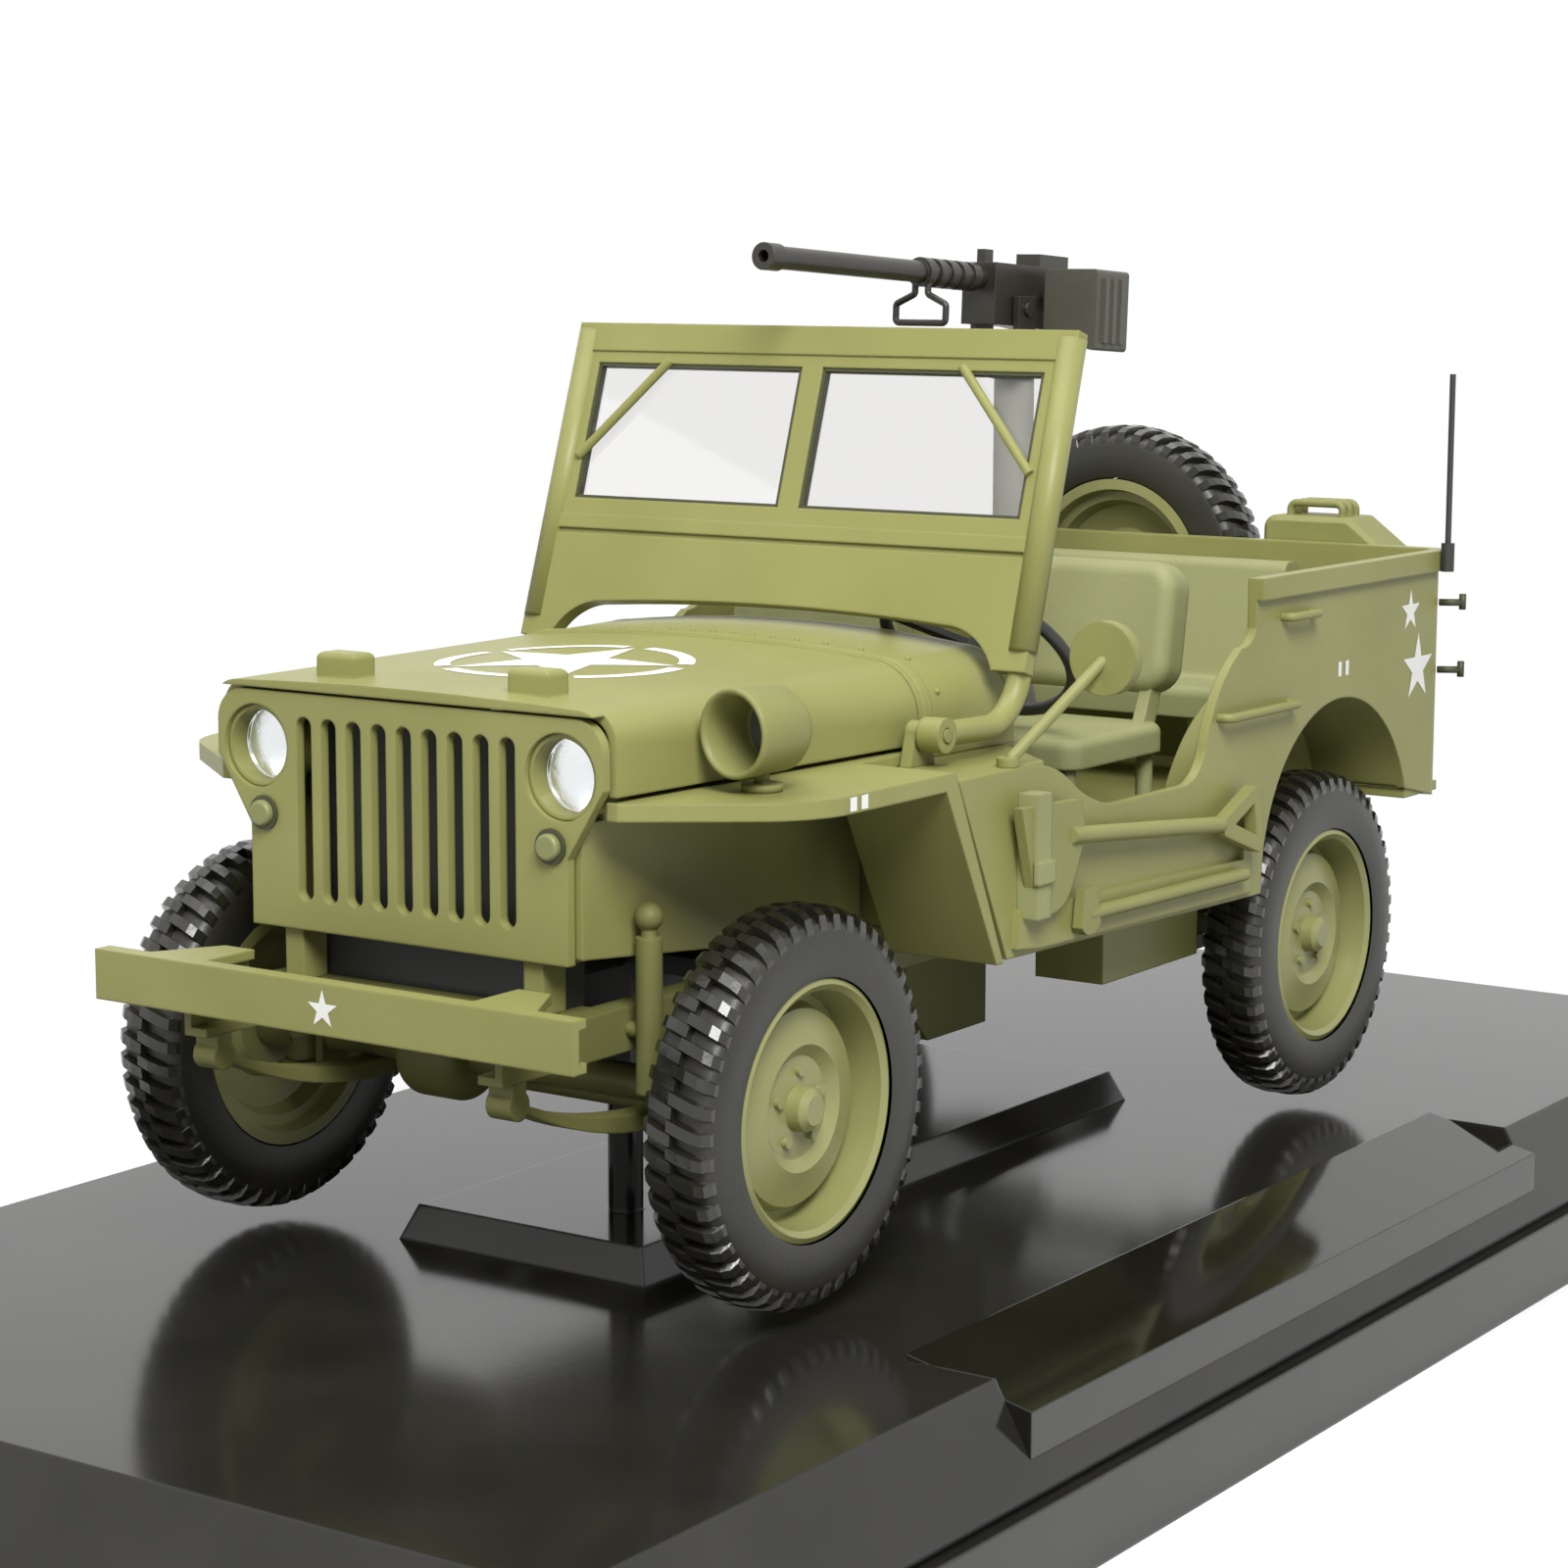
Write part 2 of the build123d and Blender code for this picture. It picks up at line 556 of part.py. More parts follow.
with BuildPart() as grille_panel:
    with BuildSketch(cross_plane(GRILLE_BACK)):
        with BuildLine():
            Polyline(
                (-GRILLE_LOW_HALF, GRILLE_BOTTOM),
                (GRILLE_LOW_HALF, GRILLE_BOTTOM),
                (GRILLE_LOW_HALF, TAPER_BOTTOM),
                (GRILLE_TOP_HALF, TAPER_TOP),
                (GRILLE_TOP_HALF, GRILLE_TOP - GRILLE_CORNER),
            )
            RadiusArc(
                (GRILLE_TOP_HALF, GRILLE_TOP - GRILLE_CORNER),
                (GRILLE_TOP_HALF - GRILLE_CORNER, GRILLE_TOP),
                -GRILLE_CORNER,
            )
            Line((GRILLE_TOP_HALF - GRILLE_CORNER, GRILLE_TOP), (GRILLE_CORNER - GRILLE_TOP_HALF, GRILLE_TOP))
            RadiusArc(
                (GRILLE_CORNER - GRILLE_TOP_HALF, GRILLE_TOP),
                (-GRILLE_TOP_HALF, GRILLE_TOP - GRILLE_CORNER),
                -GRILLE_CORNER,
            )
            Polyline(
                (-GRILLE_TOP_HALF, GRILLE_TOP - GRILLE_CORNER),
                (-GRILLE_TOP_HALF, TAPER_TOP),
                (-GRILLE_LOW_HALF, TAPER_BOTTOM),
                (-GRILLE_LOW_HALF, GRILLE_BOTTOM),
            )
        make_face()
        for slot in range(SLOT_COUNT):
            with Locations(((slot - (SLOT_COUNT - 1) / 2) * SLOT_PITCH, (SLOT_BOTTOM + SLOT_TOP) / 2)):
                SlotOverall(SLOT_TOP - SLOT_BOTTOM, SLOT_WIDTH, rotation=90, mode=Mode.SUBTRACT)
        for side in (-1, 1):
            with Locations((side * LAMP_X, LAMP_HEIGHT)):
                Circle(LAMP_OPENING, mode=Mode.SUBTRACT)
    extrude(amount=GRILLE_SHEET)
    # Flanges fold back from the lower sides to the wing panels
    for side in (-1, 1):
        with BuildSketch(level_plane(GRILLE_BOTTOM)):
            with Locations((side * (INNER_PANEL_X - SEAM - SHEET / 2), GRILLE_BACK + FLANGE / 2)):
                Rectangle(SHEET, FLANGE)
        extrude(amount=TAPER_BOTTOM - GRILLE_BOTTOM)
    # Two legs stand on the first cross member
    for side in (-1, 1):
        with BuildSketch(level_plane(RAIL_TOP)):
            with Locations((side * (RAIL_INNER_X - 2.0), GRILLE_BACK + LEG_DEPTH / 2 - 0.2)):
                Rectangle(2.4, LEG_DEPTH + 0.4)
        extrude(amount=GRILLE_BOTTOM + 1.0 - RAIL_TOP)
finish(grille_panel, "grille_panel")

# Head lamps: a bowl in each opening with a domed lens, and two marker lamps below
BOWL_DEPTH = 4.2
BOWL_BACK = GRILLE_FRONT + BOWL_DEPTH + 0.5
LENS_RADIUS = 3.75
LENS_RISE = 0.7
LENS_FRONT = GRILLE_FRONT + 2.0
LENS_BACK = GRILLE_FRONT + 3.4

with BuildPart() as headlamps:
    for side in (-1, 1):
        with BuildSketch(cross_plane(BOWL_BACK)):
            with Locations((side * LAMP_X, LAMP_HEIGHT)):
                Circle(LAMP_OPENING - RUN_CLEARANCE)
        extrude(amount=BOWL_DEPTH)
        with BuildSketch(cross_plane(LENS_BACK + 0.05)):
            with Locations((side * LAMP_X, LAMP_HEIGHT)):
                Circle(LENS_RADIUS)
        extrude(amount=LENS_BACK - GRILLE_FRONT + 1.0, mode=Mode.SUBTRACT)
finish(headlamps, "headlamps")

DOME_RADIUS = (LENS_RADIUS ** 2 + LENS_RISE ** 2) / (2 * LENS_RISE)
with BuildPart() as headlamp_lenses:
    with BuildSketch(cross_plane(LENS_BACK)):
        with Locations((LAMP_X, LAMP_HEIGHT)):
            Circle(LENS_RADIUS - RUN_CLEARANCE)
    extrude(amount=LENS_BACK - LENS_FRONT + 0.2)
    with Locations(spot(LAMP_X, LENS_FRONT + DOME_RADIUS, LAMP_HEIGHT)):
        Sphere(DOME_RADIUS, mode=Mode.INTERSECT)
    mirror(about=Plane.YZ)
finish(headlamp_lenses, "headlamp_lenses")

with BuildPart() as marker_lamps:
    for side in (-1, 1):
        with BuildSketch(cross_plane(GRILLE_FRONT)):
            with Locations((side * MARKER_X, MARKER_HEIGHT)):
                Circle(1.35)
        extrude(amount=1.1)
    fillet(marker_lamps.part.edges().group_by(Axis.Y)[0], radius=0.4)
finish(marker_lamps, "marker_lamps")

# Wings: flat top sheet with a rolled lip, inner panel, and an apron that slopes down behind the wheel
WING_TOP = 51.8
WING_LIP = 1.8
WING_FRONT = -16.0
WING_CORNER = (37.0, -7.5)
WING_OUTER_X = TUB_HALF_WIDTH + 0.7
WING_SHOULDER_Y = 0.0
WING_BEND = 19.0
APRON_BACK = 29.0
APRON_BOTTOM = 30.5
WING_FRONT_X = 25.6
INNER_PANEL_BOTTOM = 36.0
WING_BACK = BONNET_BACK
LAMP_NOTCH = BOWL_BACK + SEAM
LAMP_NOTCH_X = LAMP_X + LAMP_OPENING + SEAM


def wing_outline(inset):
    with BuildLine() as outline:
        Polyline(
            (INNER_PANEL_X, LAMP_NOTCH),
            (LAMP_NOTCH_X, LAMP_NOTCH),
            (LAMP_NOTCH_X, WING_FRONT + inset),
            (WING_FRONT_X, WING_FRONT + inset),
            (WING_CORNER[0] - inset, WING_CORNER[1] + inset),
        )
        ThreePointArc(
            (WING_CORNER[0] - inset, WING_CORNER[1] + inset),
            (WING_OUTER_X - 1.2 - inset, -3.9 + inset / 2),
            (WING_OUTER_X - inset, WING_SHOULDER_Y + inset),
        )
        Polyline(
            (WING_OUTER_X - inset, WING_SHOULDER_Y + inset),
            (WING_OUTER_X - inset, WING_BEND + 1.5),
            (INNER_PANEL_X, WING_BEND + 1.5),
            (INNER_PANEL_X, LAMP_NOTCH),
        )
    return outline.line


with BuildPart() as left_wing:
    with BuildSketch(level_plane(WING_TOP - SHEET)):
        add(wing_outline(0))
        make_face()
    extrude(amount=SHEET)
    with BuildSketch(level_plane(WING_TOP - WING_LIP)):
        add(wing_outline(0))
        make_face()
        add(wing_outline(1.0))
        make_face(mode=Mode.SUBTRACT)
        with Locations((0, WING_BEND)):
            Rectangle(2 * (INNER_PANEL_X + 1.0), 80, mode=Mode.SUBTRACT)
        with Locations((INNER_PANEL_X, WING_BEND + 8.0)):
            Rectangle(80, 16.0, mode=Mode.SUBTRACT)
    extrude(amount=WING_LIP)
    # The strip beside the bonnet runs back to the cowl
    with BuildSketch(level_plane(WING_TOP - SHEET)):
        with Locations(((INNER_PANEL_X + BONNET_BACK_HALF + 1.0) / 2, (WING_BEND + WING_BACK) / 2)):
            Rectangle(BONNET_BACK_HALF + 1.0 - INNER_PANEL_X, WING_BACK - WING_BEND)
    extrude(amount=SHEET)
    # Apron
    with BuildSketch(side_plane(BONNET_BACK_HALF - 1.0)):
        with BuildLine():
            Polyline(
                (WING_BEND - 0.5, WING_TOP - SHEET),
                (WING_BEND + 0.9, WING_TOP),
                (WING_BEND + 1.5, WING_TOP),
                (APRON_BACK + 1.3, APRON_BOTTOM),
                (APRON_BACK, APRON_BOTTOM),
                close=True,
            )
        make_face()
    extrude(amount=WING_OUTER_X - BONNET_BACK_HALF + 1.0)
    # Inner panel
    with BuildSketch(side_plane(INNER_PANEL_X)):
        with BuildLine():
            Polyline(
                (LAMP_NOTCH, WING_TOP - 0.6),
                (LAMP_NOTCH, LAMP_HEIGHT - LAMP_OPENING - SEAM),
                (GRILLE_BACK + SEAM, LAMP_HEIGHT - LAMP_OPENING - SEAM),
                (GRILLE_BACK + SEAM, INNER_PANEL_BOTTOM),
                (WING_BACK, INNER_PANEL_BOTTOM - 5.0),
                (WING_BACK, WING_TOP - 0.6),
                close=True,
            )
        make_face()
    extrude(amount=1.0)
finish(left_wing, "left_wing")

with BuildPart() as right_wing:
    add(left_wing.part.mirror(Plane.YZ))
finish(right_wing, "right_wing")

# Hooded lamp on the left wing: an open drum on a stalk
HOOD_X = 31.0
HOOD_FRONT = -5.2
HOOD_HEIGHT = 57.8
HOOD_RADIUS = 4.65
HOOD_LENGTH = 7.6
HOOD_WALL = 0.8

with BuildPart() as hooded_lamp:
    with BuildSketch(Plane(origin=spot(HOOD_X, 0, HOOD_HEIGHT), x_dir=(1, 0, 0), z_dir=(0, 0, 1))):
        with BuildLine():
            Polyline(
                (0, HOOD_FRONT + HOOD_LENGTH),
                (0, HOOD_FRONT + 3.4),
                (HOOD_RADIUS - HOOD_WALL - 0.5, HOOD_FRONT + 3.4),
                (HOOD_RADIUS - HOOD_WALL, HOOD_FRONT),
                (HOOD_RADIUS, HOOD_FRONT),
                (HOOD_RADIUS - 0.5, HOOD_FRONT + 4.2),
            )
            ThreePointArc(
                (HOOD_RADIUS - 0.5, HOOD_FRONT + 4.2),
                (HOOD_RADIUS - 1.7, HOOD_FRONT + 6.7),
                (0, HOOD_FRONT + HOOD_LENGTH),
            )
        make_face()
    revolve(axis=Axis(spot(HOOD_X, 0, HOOD_HEIGHT), (0, 1, 0)))
    with BuildSketch(level_plane(WING_TOP)):
        with Locations((HOOD_X, HOOD_FRONT + 3.4)):
            Circle(2.1)
    extrude(amount=0.7)
    with BuildSketch(level_plane(WING_TOP)):
        with Locations((HOOD_X, HOOD_FRONT + 4.2)):
            Circle(0.75)
    extrude(amount=HOOD_HEIGHT - 2.5 - WING_TOP)
finish(hooded_lamp, "hooded_lamp")

# Open tub: sides cut for the doors and rear wheels, tail panel, floors, wheel wells and rail
TUB_BACK = 141.0
TUB_TOP = 66.6
TAIL_BOTTOM = 34.5
SILL_TOP = 44.2
SILL_BOTTOM = 29.0
ARCH_BACK = 111.0
ARCH_HEIGHT = 29.8
ARCH_RADIUS = 20.5
REAR_FLOOR_TOP = 36.6
REAR_FLOOR_FRONT = 90.0
WELL_INNER_X = 26.4
TUB_CORNER = 3.0
RAIL_PROUD = 0.8
RAIL_DEPTH = 2.6
QUARTER_FRONT = 88.0
STRIP_PROUD = 0.8
SPARE_X = -9.6
SPARE_HEIGHT = 60.5
ARCH_FRONT = ARCH_BACK - ARCH_RADIUS
ARCH_FOOT_RISE = 7.0
ARCH_FOOT = (ARCH_BACK + (ARCH_RADIUS ** 2 - ARCH_FOOT_RISE ** 2) ** 0.5, ARCH_HEIGHT + ARCH_FOOT_RISE)


def tub_side():
    with BuildLine() as outline:
        Polyline((WING_BEND + 3.2, SHELF_TOP), (APRON_BACK + 3.2, APRON_BOTTOM), (ARCH_FRONT, SILL_BOTTOM),
                 (ARCH_FRONT, ARCH_HEIGHT))
        ThreePointArc((ARCH_FRONT, ARCH_HEIGHT), (ARCH_BACK, ARCH_HEIGHT + ARCH_RADIUS), ARCH_FOOT)
        Polyline(ARCH_FOOT, (TUB_BACK, TAIL_BOTTOM), (TUB_BACK, TUB_TOP), (QUARTER_FRONT, TUB_TOP),
                 (QUARTER_FRONT, 60.8))
        # The door opening: an ogee down to the sill, then up to the cowl shelf
        ThreePointArc((QUARTER_FRONT, 60.8), (87.0, 59.4), (84.6, 58.7))
        ThreePointArc((84.6, 58.7), (78.6, 53.6), (76.0, 48.5))
        ThreePointArc((76.0, 48.5), (74.0, 45.2), (70.4, SILL_TOP))
        Line((70.4, SILL_TOP), (56.0, SILL_TOP))
        ThreePointArc((56.0, SILL_TOP), (50.0, 45.4), (45.0, 48.0))
        ThreePointArc((45.0, 48.0), (41.0, 49.9), (37.0, SHELF_TOP))
        Line((37.0, SHELF_TOP), (WING_BEND + 3.2, SHELF_TOP))
    return outline.line


def tub_plan(inset):
    with BuildSketch(mode=Mode.PRIVATE) as plan:
        with BuildLine():
            FilletPolyline(
                (-TUB_HALF_WIDTH + inset, 10),
                (-TUB_HALF_WIDTH + inset, TUB_BACK - inset),
                (TUB_HALF_WIDTH - inset, TUB_BACK - inset),
                (TUB_HALF_WIDTH - inset, 10),
                radius=TUB_CORNER - inset,
            )
            Line((TUB_HALF_WIDTH - inset, 10), (-TUB_HALF_WIDTH + inset, 10))
        make_face()
    return plan.sketch


with BuildPart() as tub:
    with BuildSketch(level_plane(SILL_BOTTOM - 2.0)):
        add(tub_plan(0))
        add(tub_plan(SHEET), mode=Mode.SUBTRACT)
    extrude(amount=TUB_TOP - SILL_BOTTOM + 2.0)
    with BuildSketch(side_plane(-TUB_HALF_WIDTH - 1.0)):
        add(tub_side())
        make_face()
    extrude(amount=2 * TUB_HALF_WIDTH + 2.0, mode=Mode.INTERSECT)
    # Floors and the step between them
    with BuildSketch(level_plane(FLOOR_TOP - SHEET)):
        with Locations((0, (FIREWALL_FRONT + REAR_FLOOR_FRONT) / 2)):
            Rectangle(2 * TUB_HALF_WIDTH - 1.0, REAR_FLOOR_FRONT - FIREWALL_FRONT)
    extrude(amount=SHEET)
    with BuildSketch(level_plane(REAR_FLOOR_TOP - SHEET)):
        with Locations((0, (REAR_FLOOR_FRONT + TUB_BACK) / 2)):
            Rectangle(2 * WELL_INNER_X, TUB_BACK - REAR_FLOOR_FRONT - 1.0)
        for side in (-1, 1):
            with Locations((side * 33.0, (ARCH_FOOT[0] + TUB_BACK) / 2)):
                Rectangle(14.0, TUB_BACK - ARCH_FOOT[0] - 1.0)
    extrude(amount=SHEET)
    with BuildSketch(cross_plane(REAR_FLOOR_FRONT + SHEET / 2)):
        with Locations((0, (FLOOR_TOP + REAR_FLOOR_TOP) / 2 - SHEET / 2)):
            Rectangle(2 * TUB_HALF_WIDTH - 1.0, REAR_FLOOR_TOP - FLOOR_TOP + SHEET)
    extrude(amount=SHEET)
    # Cowl shelves beside the bonnet's rear
    for side in (-1, 1):
        with BuildSketch(level_plane(SHELF_TOP - SHEET)):
            with BuildLine():
                Polyline(
                    (side * (BONNET_BACK_HALF + 1.2), WING_BEND + 3.4),
                    (side * (TUB_HALF_WIDTH - 0.4), WING_BEND + 3.4),
                    (side * (TUB_HALF_WIDTH - 0.4), 40.0),
                    (side * (TUB_HALF_WIDTH - SHEET), 41.0),
                    (side * (BONNET_BACK_HALF - 1.0), COWL_BACK),
                    (side * (BONNET_BACK_HALF - 1.0), BONNET_BACK + 0.6),
                    (side * (BONNET_BACK_HALF + 1.2), BONNET_BACK + 0.6),
                    close=True,
                )
            make_face()
        extrude(amount=SHEET)
    # Wheel wells stand inside the rear quarters
    for side in (-1, 1):
        with BuildSketch(side_plane(side * (WELL_INNER_X + (TUB_HALF_WIDTH - WELL_INNER_X - 0.5) / 2)
                                    - (TUB_HALF_WIDTH - WELL_INNER_X - 0.5) / 2)):
            with Locations((ARCH_BACK, ARCH_HEIGHT)):
                Circle(ARCH_RADIUS + SHEET)
                Circle(ARCH_RADIUS, mode=Mode.SUBTRACT)
                with Locations((0, -ARCH_RADIUS)):
                    Rectangle(60, 2 * ARCH_RADIUS, mode=Mode.SUBTRACT)
                with Locations((30 + ARCH_FOOT[0] - ARCH_BACK, 0)):
                    Rectangle(60, 60, mode=Mode.SUBTRACT)
        extrude(amount=TUB_HALF_WIDTH - WELL_INNER_X - 0.5)
        with BuildSketch(side_plane(side * (WELL_INNER_X + SHEET / 2) - SHEET / 2)):
            with Locations((ARCH_BACK, ARCH_HEIGHT)):
                Circle(ARCH_RADIUS + SHEET)
                with Locations((0, -ARCH_RADIUS)):
                    Rectangle(60, 2 * ARCH_RADIUS, mode=Mode.SUBTRACT)
                with Locations((30 + ARCH_FOOT[0] - ARCH_BACK, 0)):
                    Rectangle(60, 60, mode=Mode.SUBTRACT)
        extrude(amount=SHEET)
    # Rail round the top of the rear quarters and tail
    with BuildSketch(level_plane(TUB_TOP - RAIL_DEPTH)):
        add(tub_plan(-RAIL_PROUD))
        add(tub_plan(SHEET), mode=Mode.SUBTRACT)
        with Locations((0, QUARTER_FRONT - 50.0)):
            Rectangle(120, 100, mode=Mode.SUBTRACT)
    extrude(amount=RAIL_DEPTH)
    # Pressed fuel well under the driver's seat
    with BuildSketch(level_plane(20.4)):
        with Locations((26.4, 81.0)):
            Rectangle(9.0, 23.0)
    extrude(amount=FLOOR_TOP - 20.4)
    # A raised strip along each sill, and an upright flange at its back end
    for side in (-1, 1):
        with BuildSketch(side_plane(side * (TUB_HALF_WIDTH + STRIP_PROUD / 2 - 0.2)
                                    - STRIP_PROUD / 2 - 0.2)):
            with BuildLine():
                Polyline(
                    (33.6, 35.6), (84.4, 34.0), (84.4, 41.0), (86.4, 41.0),
                    (86.4, SILL_BOTTOM + 0.8), (38.0, SILL_BOTTOM + 1.9), (APRON_BACK + 4.0, APRON_BOTTOM + 1.0),
                    close=True,
                )
            make_face()
        extrude(amount=STRIP_PROUD + 0.4)
    # Straps and feet that carry the spare wheel and the fuel can
    with BuildSketch(cross_plane(TUB_BACK + 1.9)):
        with Locations((SPARE_X, SPARE_HEIGHT)):
            Circle(5.2)
    extrude(amount=2.4)
finish(tub, "tub")

# Spare wheel, on the tail
SPARE_CENTRE_BACK = TUB_BACK + RAIL_PROUD + 0.5 + TYRE_WIDTH / 2

# Each half of the tread is a ring of lugs that narrows to the shoulder; the two halves are
# turned half a lug apart, as on the real cross-country tyre
LUG_COUNT = 22
LUG_DEPTH = 1.3
LUG_PROFILE = (
    # share of the pitch, height above the groove as a share of the lug's depth
    (0.0, 0.0),
    (0.1, 1.0),
    (0.52, 1.0),
    (0.62, 0.0),
)
SHOULDER_OFFSET = 3.1
SHOULDER_SHARE = 0.965
WALL_FLATS = 32
WALL_RING = (
    # offset from the middle plane, radius
    (SHOULDER_OFFSET - 0.4, 18.3),
    (TYRE_WIDTH / 2, 16.6),
    (TYRE_WIDTH / 2 - 0.3, 13.9),
)


def lug_ring(share, turn):
    points = []
    for lug in range(LUG_COUNT):
        for place, rise in LUG_PROFILE:
            angle = radians((lug + turn + place) * 360 / LUG_COUNT)
            radius = share * (TYRE_RADIUS - LUG_DEPTH * (1 - rise))
            points.append((radius * cos(angle), radius * sin(angle)))
    return points


RIM_BACK_OFFSET = -3.7
RIM_SECTION = (
    # radius, offset outward from the wheel's middle plane
    (0.0, 3.3),
    (1.5, 3.3),
    (2.2, 2.7),
    (2.4, 1.3),
    (5.2, 1.0),
    (6.4, 1.9),
    (9.9, 0.9),
    (10.6, -0.8),
    (11.5, -0.8),
    (12.0, 3.2),
    (12.6, 3.7),
    (13.2, 3.4),
    (13.1, 2.8),
    (12.4, 2.6),
    (12.4, -3.1),
    (13.1, -3.3),
    (13.1, RIM_BACK_OFFSET),
    (11.7, RIM_BACK_OFFSET),
    (11.3, -1.8),
    (10.2, -1.8),
    (9.4, 0.0),
    (6.2, 0.8),
    (4.8, -0.1),
    (0.0, -0.1),
)
STUD_COUNT = 5
STUD_CIRCLE = 3.8
WHEELS = (
    # name, side, distance behind the front axle
    ("front_left", 1, 0.0),
    ("front_right", -1, 0.0),
    ("rear_left", 1, WHEELBASE),
    ("rear_right", -1, WHEELBASE),
)


def wheel_plane(centre, outward):
    return Plane(origin=centre, x_dir=(0, 0, 1), z_dir=Vector(0, 0, 1).cross(Vector(*outward)))


def make_tyre(name, centre, outward):
    middle = Plane(origin=centre, z_dir=outward)
    with BuildPart() as tyre:
        for half, turn in ((1, 0.0), (-1, 0.5)):
            with BuildSketch(middle):
                Polygon(*lug_ring(1.0, turn), align=None)
            with BuildSketch(middle.offset(half * SHOULDER_OFFSET)):
                Polygon(*lug_ring(SHOULDER_SHARE, turn), align=None)
            loft(ruled=True)
            for offset, radius in WALL_RING:
                with BuildSketch(middle.offset(half * offset)):
                    RegularPolygon(radius, WALL_FLATS)
            loft(ruled=True)
        with BuildSketch(middle.offset(-TYRE_WIDTH)):
            RegularPolygon(RIM_RADIUS + 0.05, WALL_FLATS, major_radius=False)
        extrude(amount=2 * TYRE_WIDTH, mode=Mode.SUBTRACT)
    finish(tyre, name)


def make_rim(name, centre, outward):
    with BuildPart() as rim:
        with BuildSketch(wheel_plane(centre, outward)):
            with BuildLine():
                Polyline(*RIM_SECTION, close=True)
            make_face()
        revolve(axis=Axis(centre, outward))
        stud_plane = Plane(origin=Vector(*centre) + Vector(*outward) * 0.9, z_dir=outward)
        with BuildSketch(stud_plane):
            with PolarLocations(STUD_CIRCLE, STUD_COUNT):
                Circle(0.55)
        extrude(amount=0.8)
    finish(rim, name)


for wheel_name, side, back in WHEELS:
    wheel_centre = spot(side * HALF_TRACK, back, AXLE_HEIGHT)
    make_tyre("tyre_" + wheel_name, wheel_centre, (side, 0, 0))
    make_rim("rim_" + wheel_name, wheel_centre, (side, 0, 0))

spare_centre = spot(SPARE_X, SPARE_CENTRE_BACK, SPARE_HEIGHT)
make_tyre("spare_tyre", spare_centre, (0, 1, 0))
make_rim("spare_rim", spare_centre, (0, 1, 0))

# Steering knuckles: hub, kingpin block and steering arm, one each side
ARM_LENGTH = 7.5
ARM_Z = AXLE_HEIGHT - 2.4
for side, name in ((1, "knuckle_left"), (-1, "knuckle_right")):
    with BuildPart() as knuckle:
        with BuildSketch(level_plane(AXLE_HEIGHT - 3.4 + RUN_CLEARANCE)):
            with Locations((side * KINGPIN_X, 0)):
                Circle(2.0)
        extrude(amount=6.8 - 2 * RUN_CLEARANCE)
        with BuildSketch(side_plane(min(side * KINGPIN_X, side * HUB_REACH))):
            with Locations((0, AXLE_HEIGHT)):
                Circle(HUB_RADIUS)
        extrude(amount=HUB_REACH - KINGPIN_X)
        with BuildSketch(level_plane(ARM_Z - 0.7)):
            with BuildLine():
                Polyline(
                    (side * (KINGPIN_X - 1.3), 0),
                    (side * (KINGPIN_X + 1.3), 0),
                    (side * (KINGPIN_X + 0.8), ARM_LENGTH + 1.0),
                    (side * (KINGPIN_X - 0.8), ARM_LENGTH + 1.0),
                    close=True,
                )
            make_face()
        extrude(amount=1.4)
    finish(knuckle, name)

# Track rod behind the axle, below the steering arms
TRACK_ROD_RADIUS = 0.8
TRACK_ROD_Z = ARM_Z - 0.7 - 0.4 - TRACK_ROD_RADIUS

with BuildPart() as track_rod:
    with BuildSketch(side_plane(-KINGPIN_X)):
        with Locations((ARM_LENGTH, TRACK_ROD_Z)):
            Circle(TRACK_ROD_RADIUS)
    extrude(amount=2 * KINGPIN_X)
finish(track_rod, "track_rod")

# Steering column and wheel for the left-hand driver
STEER_X = 19.5
STEER_CENTRE = (STEER_X, 60.0, 59.6)
COLUMN_RADIUS = 1.0
STEER_FOOT = (STEER_X, FIREWALL_FRONT + SHEET + 0.75 * COLUMN_RADIUS, 34.0)
STEER_RADIUS = 11.4
STEER_TUBE = 0.75
steer_line = (Vector(*spot(*STEER_CENTRE)) - Vector(*spot(*STEER_FOOT))).normalized()

with BuildPart() as steering_column:
    add(rod(spot(*STEER_FOOT), Vector(*spot(*STEER_CENTRE)) - steer_line * 2.2, COLUMN_RADIUS))
finish(steering_column, "steering_column")

with BuildPart() as steering_wheel:
    wheel_plane_tilted = Plane(origin=spot(*STEER_CENTRE), x_dir=(1, 0, 0), z_dir=steer_line)
    with BuildSketch(Plane(origin=spot(*STEER_CENTRE), x_dir=(1, 0, 0), z_dir=Vector(1, 0, 0).cross(steer_line))):
        with Locations((STEER_RADIUS, 0)):
            Circle(STEER_TUBE)
    revolve(axis=Axis(spot(*STEER_CENTRE), steer_line))
    with BuildSketch(wheel_plane_tilted.offset(-2.0)):
        Circle(1.6)
    extrude(amount=2.4)
    with BuildSketch(wheel_plane_tilted.offset(-0.4)):
        for spoke in range(3):
            angle = radians(90 + 120 * spoke)
            with BuildLine():
                Line((0, 0), (STEER_RADIUS * cos(angle), STEER_RADIUS * sin(angle)))
            trace(line_width=1.1)
    extrude(amount=0.8)
finish(steering_wheel, "steering_wheel")

# Gear levers and pedals on the front floor
LEVERS = (
    # x, back, tilt back, height
    (0.0, 50.0, 6.0, 16.0),
    (-3.5, 55.0, 3.0, 10.0),
    (-6.0, 55.0, 3.0, 10.0),
)
PEDALS = ((24.5, 44.5), (19.5, 44.5), (13.0, 44.5))

